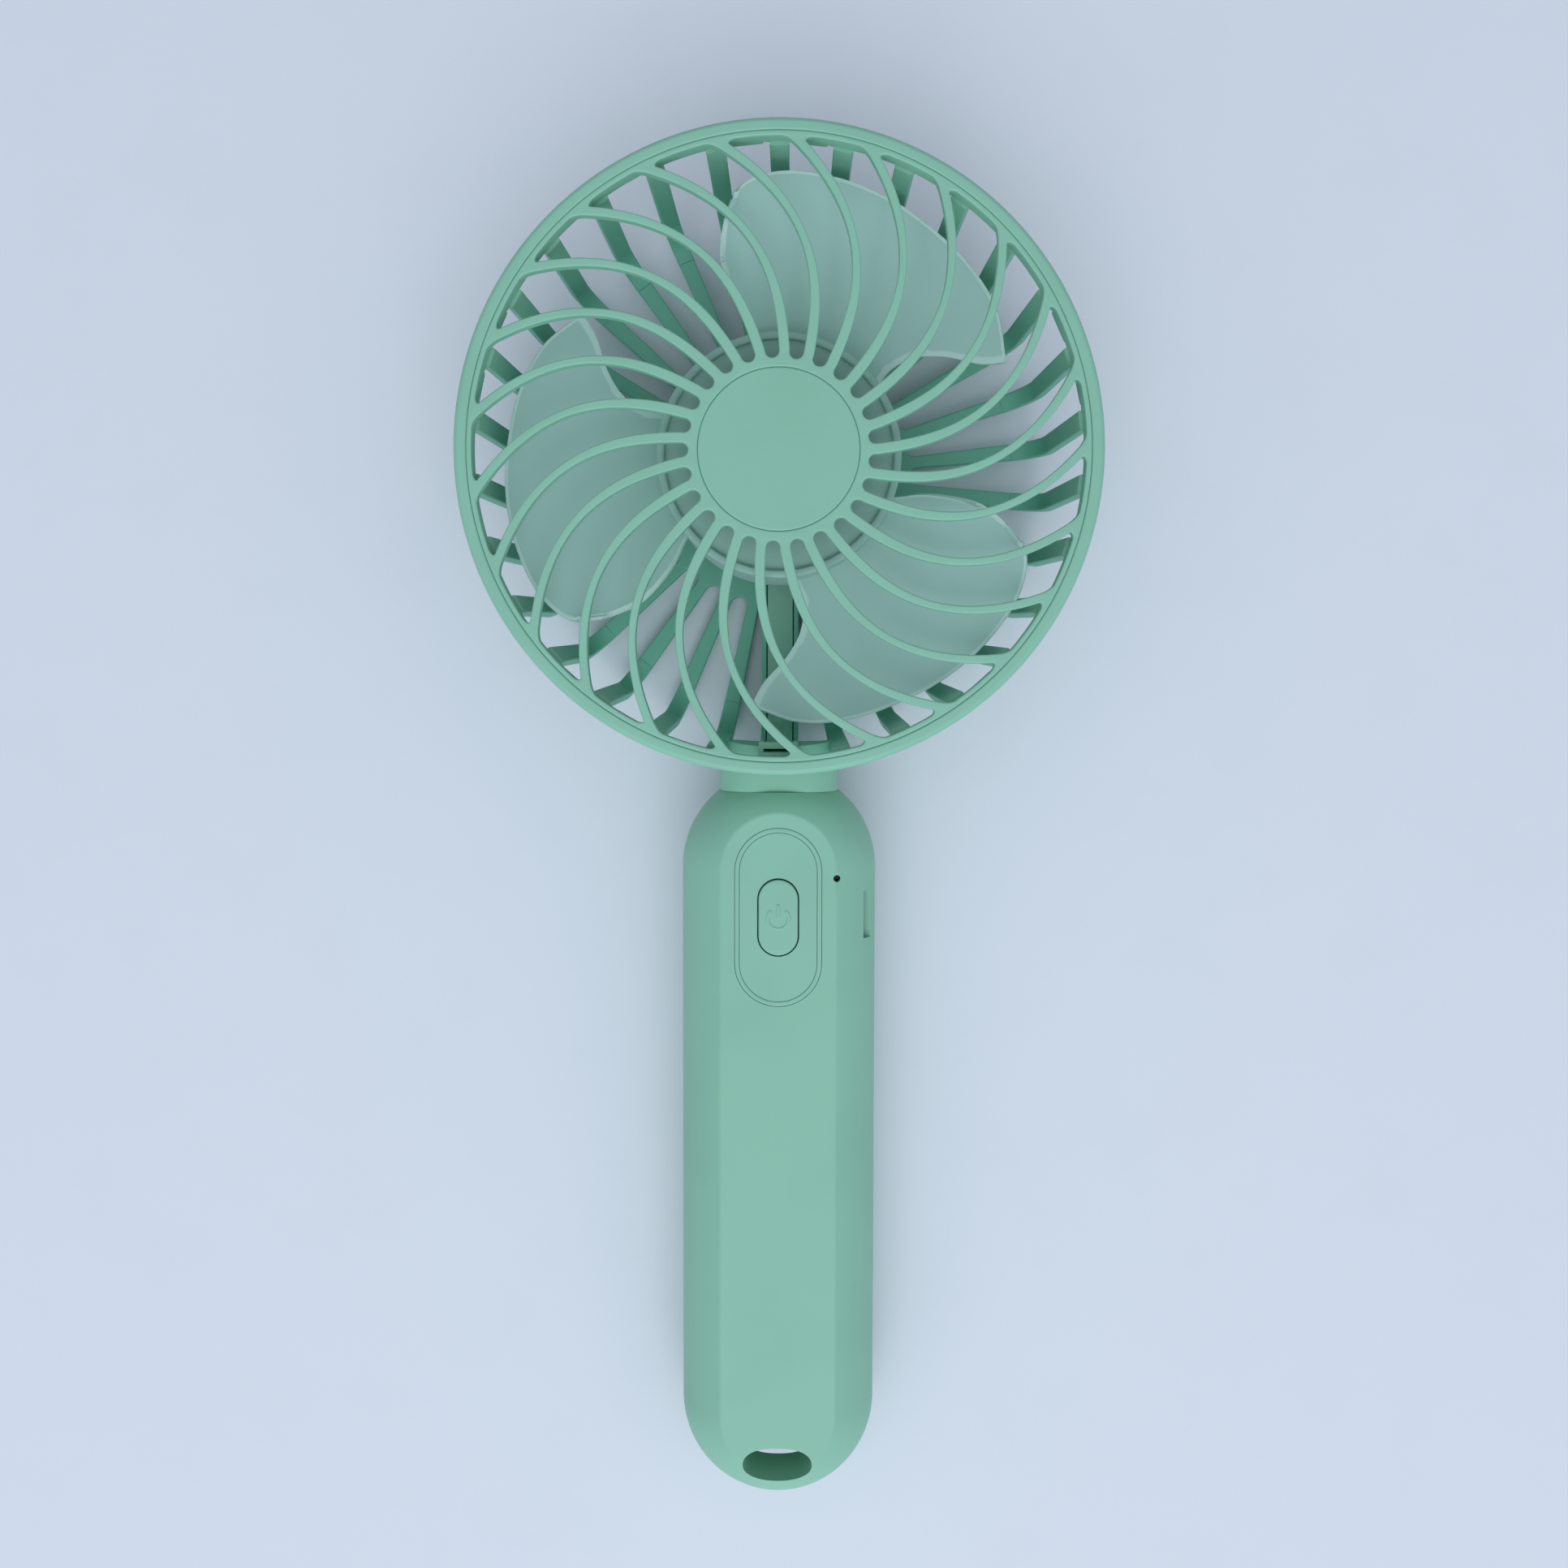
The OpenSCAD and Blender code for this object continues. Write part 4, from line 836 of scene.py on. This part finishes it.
def shell_mesh(side):
    """Closed shell of one half of the handle, with no openings yet and its tail solid."""
    outer = side_profile(0)
    outer = [(outer[0][0] - SKIN_SPLIT, 0)] + [(w, max(z, SKIN_SPLIT)) for w, z in outer[1:]]
    inner = side_profile(SHELL_WALL)
    rings = [handle_ring(w, MID_Z + side * z, TOP_Y, LOW_Y) for w, z in reversed(outer)]
    rings += [handle_ring(w, MID_Z + side * z, TOP_Y - 2, LOW_Y + SOLID_TAIL) for w, z in inner]
    shape = Shape()
    shape.loft(rings)
    return shape.mesh("handle_shell")


def cut(mesh, cutters):
    """The mesh with the cutters' shapes taken out of it."""
    body = bpy.data.objects.new("cut_body", mesh)
    bpy.context.scene.collection.objects.link(body)
    for number, cutter in enumerate(cutters):
        tool = bpy.data.objects.new(f"cutter_{number}", cutter.mesh("cutter"))
        bpy.context.scene.collection.objects.link(tool)
        taken = body.modifiers.new("taken", "BOOLEAN")
        taken.operation = "DIFFERENCE"
        taken.solver = "EXACT"
        taken.object = tool
    graph = bpy.context.evaluated_depsgraph_get()
    done = bpy.data.meshes.new_from_object(body.evaluated_get(graph))
    for thing in [body] + [m.object for m in body.modifiers]:
        bpy.data.objects.remove(thing)
    return done


def skin_miss(p):
    """How far a point lies from the handle's outer skin, in millimetres."""
    x, y, z = p / MM
    past = max(LOW_Y - y, y - HIGH_Y, 0)
    w = math.hypot(x, past)
    side_x = HALF_W - SIDE_R
    height = abs(z - MID_Z)
    profile_miss = SIDE_R - math.hypot(w - side_x, height)
    return min(abs(HALF_T - height), abs(profile_miss))


def soften(mesh, size, chosen, steps=2):
    """Rounds the chosen sharp edges of a mesh."""
    bm = bmesh.new()
    bm.from_mesh(mesh)
    sharp = [e for e in bm.edges if len(e.link_faces) == 2 and e.calc_face_angle(0) > math.radians(40)]
    edges = [e for e in sharp if all(chosen(v.co) for v in e.verts)]
    bmesh.ops.bevel(bm, geom=edges, offset=size * MM, segments=steps, profile=0.5, affect="EDGES",
                    clamp_overlap=True)
    bm.to_mesh(mesh)
    bm.free()


def prism(outlines, low, high, place=None):
    """Plain plate, to cut with."""
    shape = Shape()
    shape.plate(outlines, low, high, place=place)
    return shape


def handle_front():
    opening = stadium(BUTTON_W + 2 * BUTTON_GAP, BUTTON_L + 2 * BUTTON_GAP, BUTTON_Y)
    channel = [stadium(FRAME_W, FRAME_L, BUTTON_Y, 40),
               stadium(FRAME_W - 2 * FRAME_BAND, FRAME_L - 2 * FRAME_BAND, BUTTON_Y, 40)[::-1]]
    port_low, port_high = span("charge_port")
    port_mid = (port_low.z + port_high.z) / 2
    left, right = BUTTON_Y - PORT_L / 2, BUTTON_Y + PORT_L / 2
    pocket = rectangle(left, port_low.z - 0.05, right, port_high.z + 0.05)
    mouth = rectangle(left, port_mid - PORT_MOUTH_H / 2, right, port_mid + PORT_MOUTH_H / 2)
    cutters = [
        prism([opening], MID_Z + 8, FACE_Z + 1),
        prism(channel, FACE_Z - 0.5, FACE_Z + 1),
        prism([circle(LED_R, 32, LED_X, LED_Y)], MID_Z + 5, FACE_Z + 1),
        prism([pocket], 0, port_high.x - port_low.x, across_x(port_low.x)),
        prism([mouth], 0, 6, across_x(port_high.x - 0.1)),
        prism([oval(SLOT_W, SLOT_L, SLOT_TOP_Y - SLOT_L / 2)], MID_Z - 5, FACE_Z + 1),
    ]
    mesh = cut(shell_mesh(1), cutters)
    soften(mesh, 0.14, lambda p: skin_miss(p) < 0.02 and p.z > (MID_Z + 1) * MM)
    finished(mesh, "handle_front_piece", "housing", "handle_front", MINT)
    band = Shape()
    outer, inner = -2 * FRAME_LINE, 2 * FRAME_LINE - 2 * FRAME_BAND
    band.plate([stadium(FRAME_W + outer, FRAME_L + outer, BUTTON_Y, 40),
                stadium(FRAME_W + inner, FRAME_L + inner, BUTTON_Y, 40)[::-1]], FACE_Z - 0.6, FACE_Z, 0, 0.1)
    inlay = bpy.data.objects.new("handle_front_band", band.mesh("band"))
    bpy.context.scene.collection.objects.link(inlay)
    inlay.data.materials.append(MINT)
    smooth(inlay)
    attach(inlay, "housing")


def handle_rear():
    cutters = [prism([oval(SLOT_W, SLOT_REAR_L, SLOT_TOP_Y - SLOT_REAR_L / 2)], -5, MID_Z + 5)]
    seat = span("handle_screws")[0].z + 1.2
    for x, y in SCREW_PLACES:
        for side in (-1, 1):
            cutters.append(prism([circle(SCREW_HOLE_R, 40, side * x, y)], -5, seat))
    mesh = cut(shell_mesh(-1), cutters)
    soften(mesh, 0.2, lambda p: skin_miss(p) < 0.02 and p.z < (MID_Z - 1) * MM)
    finished(mesh, "handle_rear_piece", "housing", "handle_rear", MINT)


# ---------- button ----------

def power_button():
    shape = Shape()
    flange_top = FACE_Z - SHELL_WALL - 0.2
    shape.plate([stadium(BUTTON_W, BUTTON_L, BUTTON_Y, 28)], flange_top - 0.2, BUTTON_TOP, 0, 0.22, steps=5)
    shape.plate([stadium(BUTTON_W + 2, BUTTON_L + 2, BUTTON_Y, 20)], BUTTON_LOW.z + 1, flange_top, 0.15, 0.15)
    shape.plate([circle(1.4, 32, 0, BUTTON_Y)], BUTTON_LOW.z, flange_top - 0.3)
    y = BUTTON_Y - SYMBOL_DROP
    start, end = 90 + SYMBOL_GAP, 450 - SYMBOL_GAP
    ring = arc(0, y, SYMBOL_R, start, end, 40) + arc(0, y, SYMBOL_R - SYMBOL_LINE, end, start, 40)
    stem = rectangle(-SYMBOL_LINE / 2, y + 0.15, SYMBOL_LINE / 2, y + 2.25, 0.1)
    for outline in (ring, stem):
        shape.plate([outline], BUTTON_TOP - 0.1, BUTTON_HIGH.z, 0, 0.03)
    shape.piece("power_button_piece", "button", "power_button", "shell", MINT)


dress_cad_nodes()
front_grille()
front_badge()
rear_guard()
handle_front()
handle_rear()
power_button()
impeller()


# ---------- camera, light, floor ----------

def camera():
    """Looks down on the fan from above its neck, as in the photo."""
    place = Vector((2.909, -37.789, 293.467)) * MM
    tilt, lean, roll = 0.0541, -0.0076, -0.0025
    data = bpy.data.cameras.new("camera")
    data.sensor_width = 36
    data.lens = 38.2
    data.clip_start = 0.01
    eye = bpy.data.objects.new("camera", data)
    bpy.context.scene.collection.objects.link(eye)
    view = Matrix.Rotation(roll, 4, "Z") @ Matrix.Rotation(lean, 4, "Y") @ Matrix.Rotation(tilt, 4, "X")
    eye.matrix_world = Matrix.Translation(place) @ view.transposed()
    bpy.context.scene.camera = eye


def area_light(name, place, aim, size, power, colour):
    data = bpy.data.lights.new(name, "AREA")
    data.size = size
    data.energy = power
    data.color = colour
    lamp = bpy.data.objects.new(name, data)
    lamp.location = place
    lamp.rotation_euler = (Vector(aim) - Vector(place)).to_track_quat("-Z", "Y").to_euler()
    bpy.context.scene.collection.objects.link(lamp)


def sky():
    """Soft light from all round, strongest overhead and from the handle's end."""
    world = bpy.data.worlds.new("studio")
    world.use_nodes = True
    tree = world.node_tree
    background = tree.nodes["Background"]
    place = tree.nodes.new("ShaderNodeTexCoord")
    toward = node_at(tree, "ShaderNodeVectorMath")
    toward.operation = "DOT_PRODUCT"
    toward.inputs[1].default_value = Vector((0.03, -0.5, 0.865))
    strength = node_at(tree, "ShaderNodeMapRange", From_Min=-0.3, To_Min=0.14, To_Max=0.98)
    tree.links.new(place.outputs["Generated"], toward.inputs[0])
    tree.links.new(toward.outputs["Value"], strength.inputs["Value"])
    tree.links.new(strength.outputs["Result"], background.inputs["Strength"])
    background.inputs["Color"].default_value = (0.80, 0.895, 1.03, 1)
    bpy.context.scene.world = world


def surroundings():
    """Sky, a soft box toward the handle's end, and a pale floor under the head and the handle's tail."""
    sky()
    area_light("softbox", (0.0, -0.75, 1.0), (0, -0.06, 0), 0.9, 4.9, (0.87, 0.945, 1.0))
    tilt = math.atan2(6, 125)
    floor = bpy.data.objects.new("floor", bpy.data.meshes.new("floor"))
    size = 6
    corners = [(-size, -size, 0), (size, -size, 0), (size, size, 0), (-size, size, 0)]
    floor.data.from_pydata(corners, [], [(0, 1, 2, 3)])
    floor.matrix_world = Matrix.Translation((0, -0.0401, -0.00002)) @ Matrix.Rotation(-tilt, 4, "X")
    floor.data.materials.append(plastic("paper", (0.78, 0.80, 0.84), 0.75, 900, 0.02, drift=0.01))
    bpy.context.scene.collection.objects.link(floor)
    bpy.context.scene.view_settings.view_transform = "Standard"


camera()
surroundings()
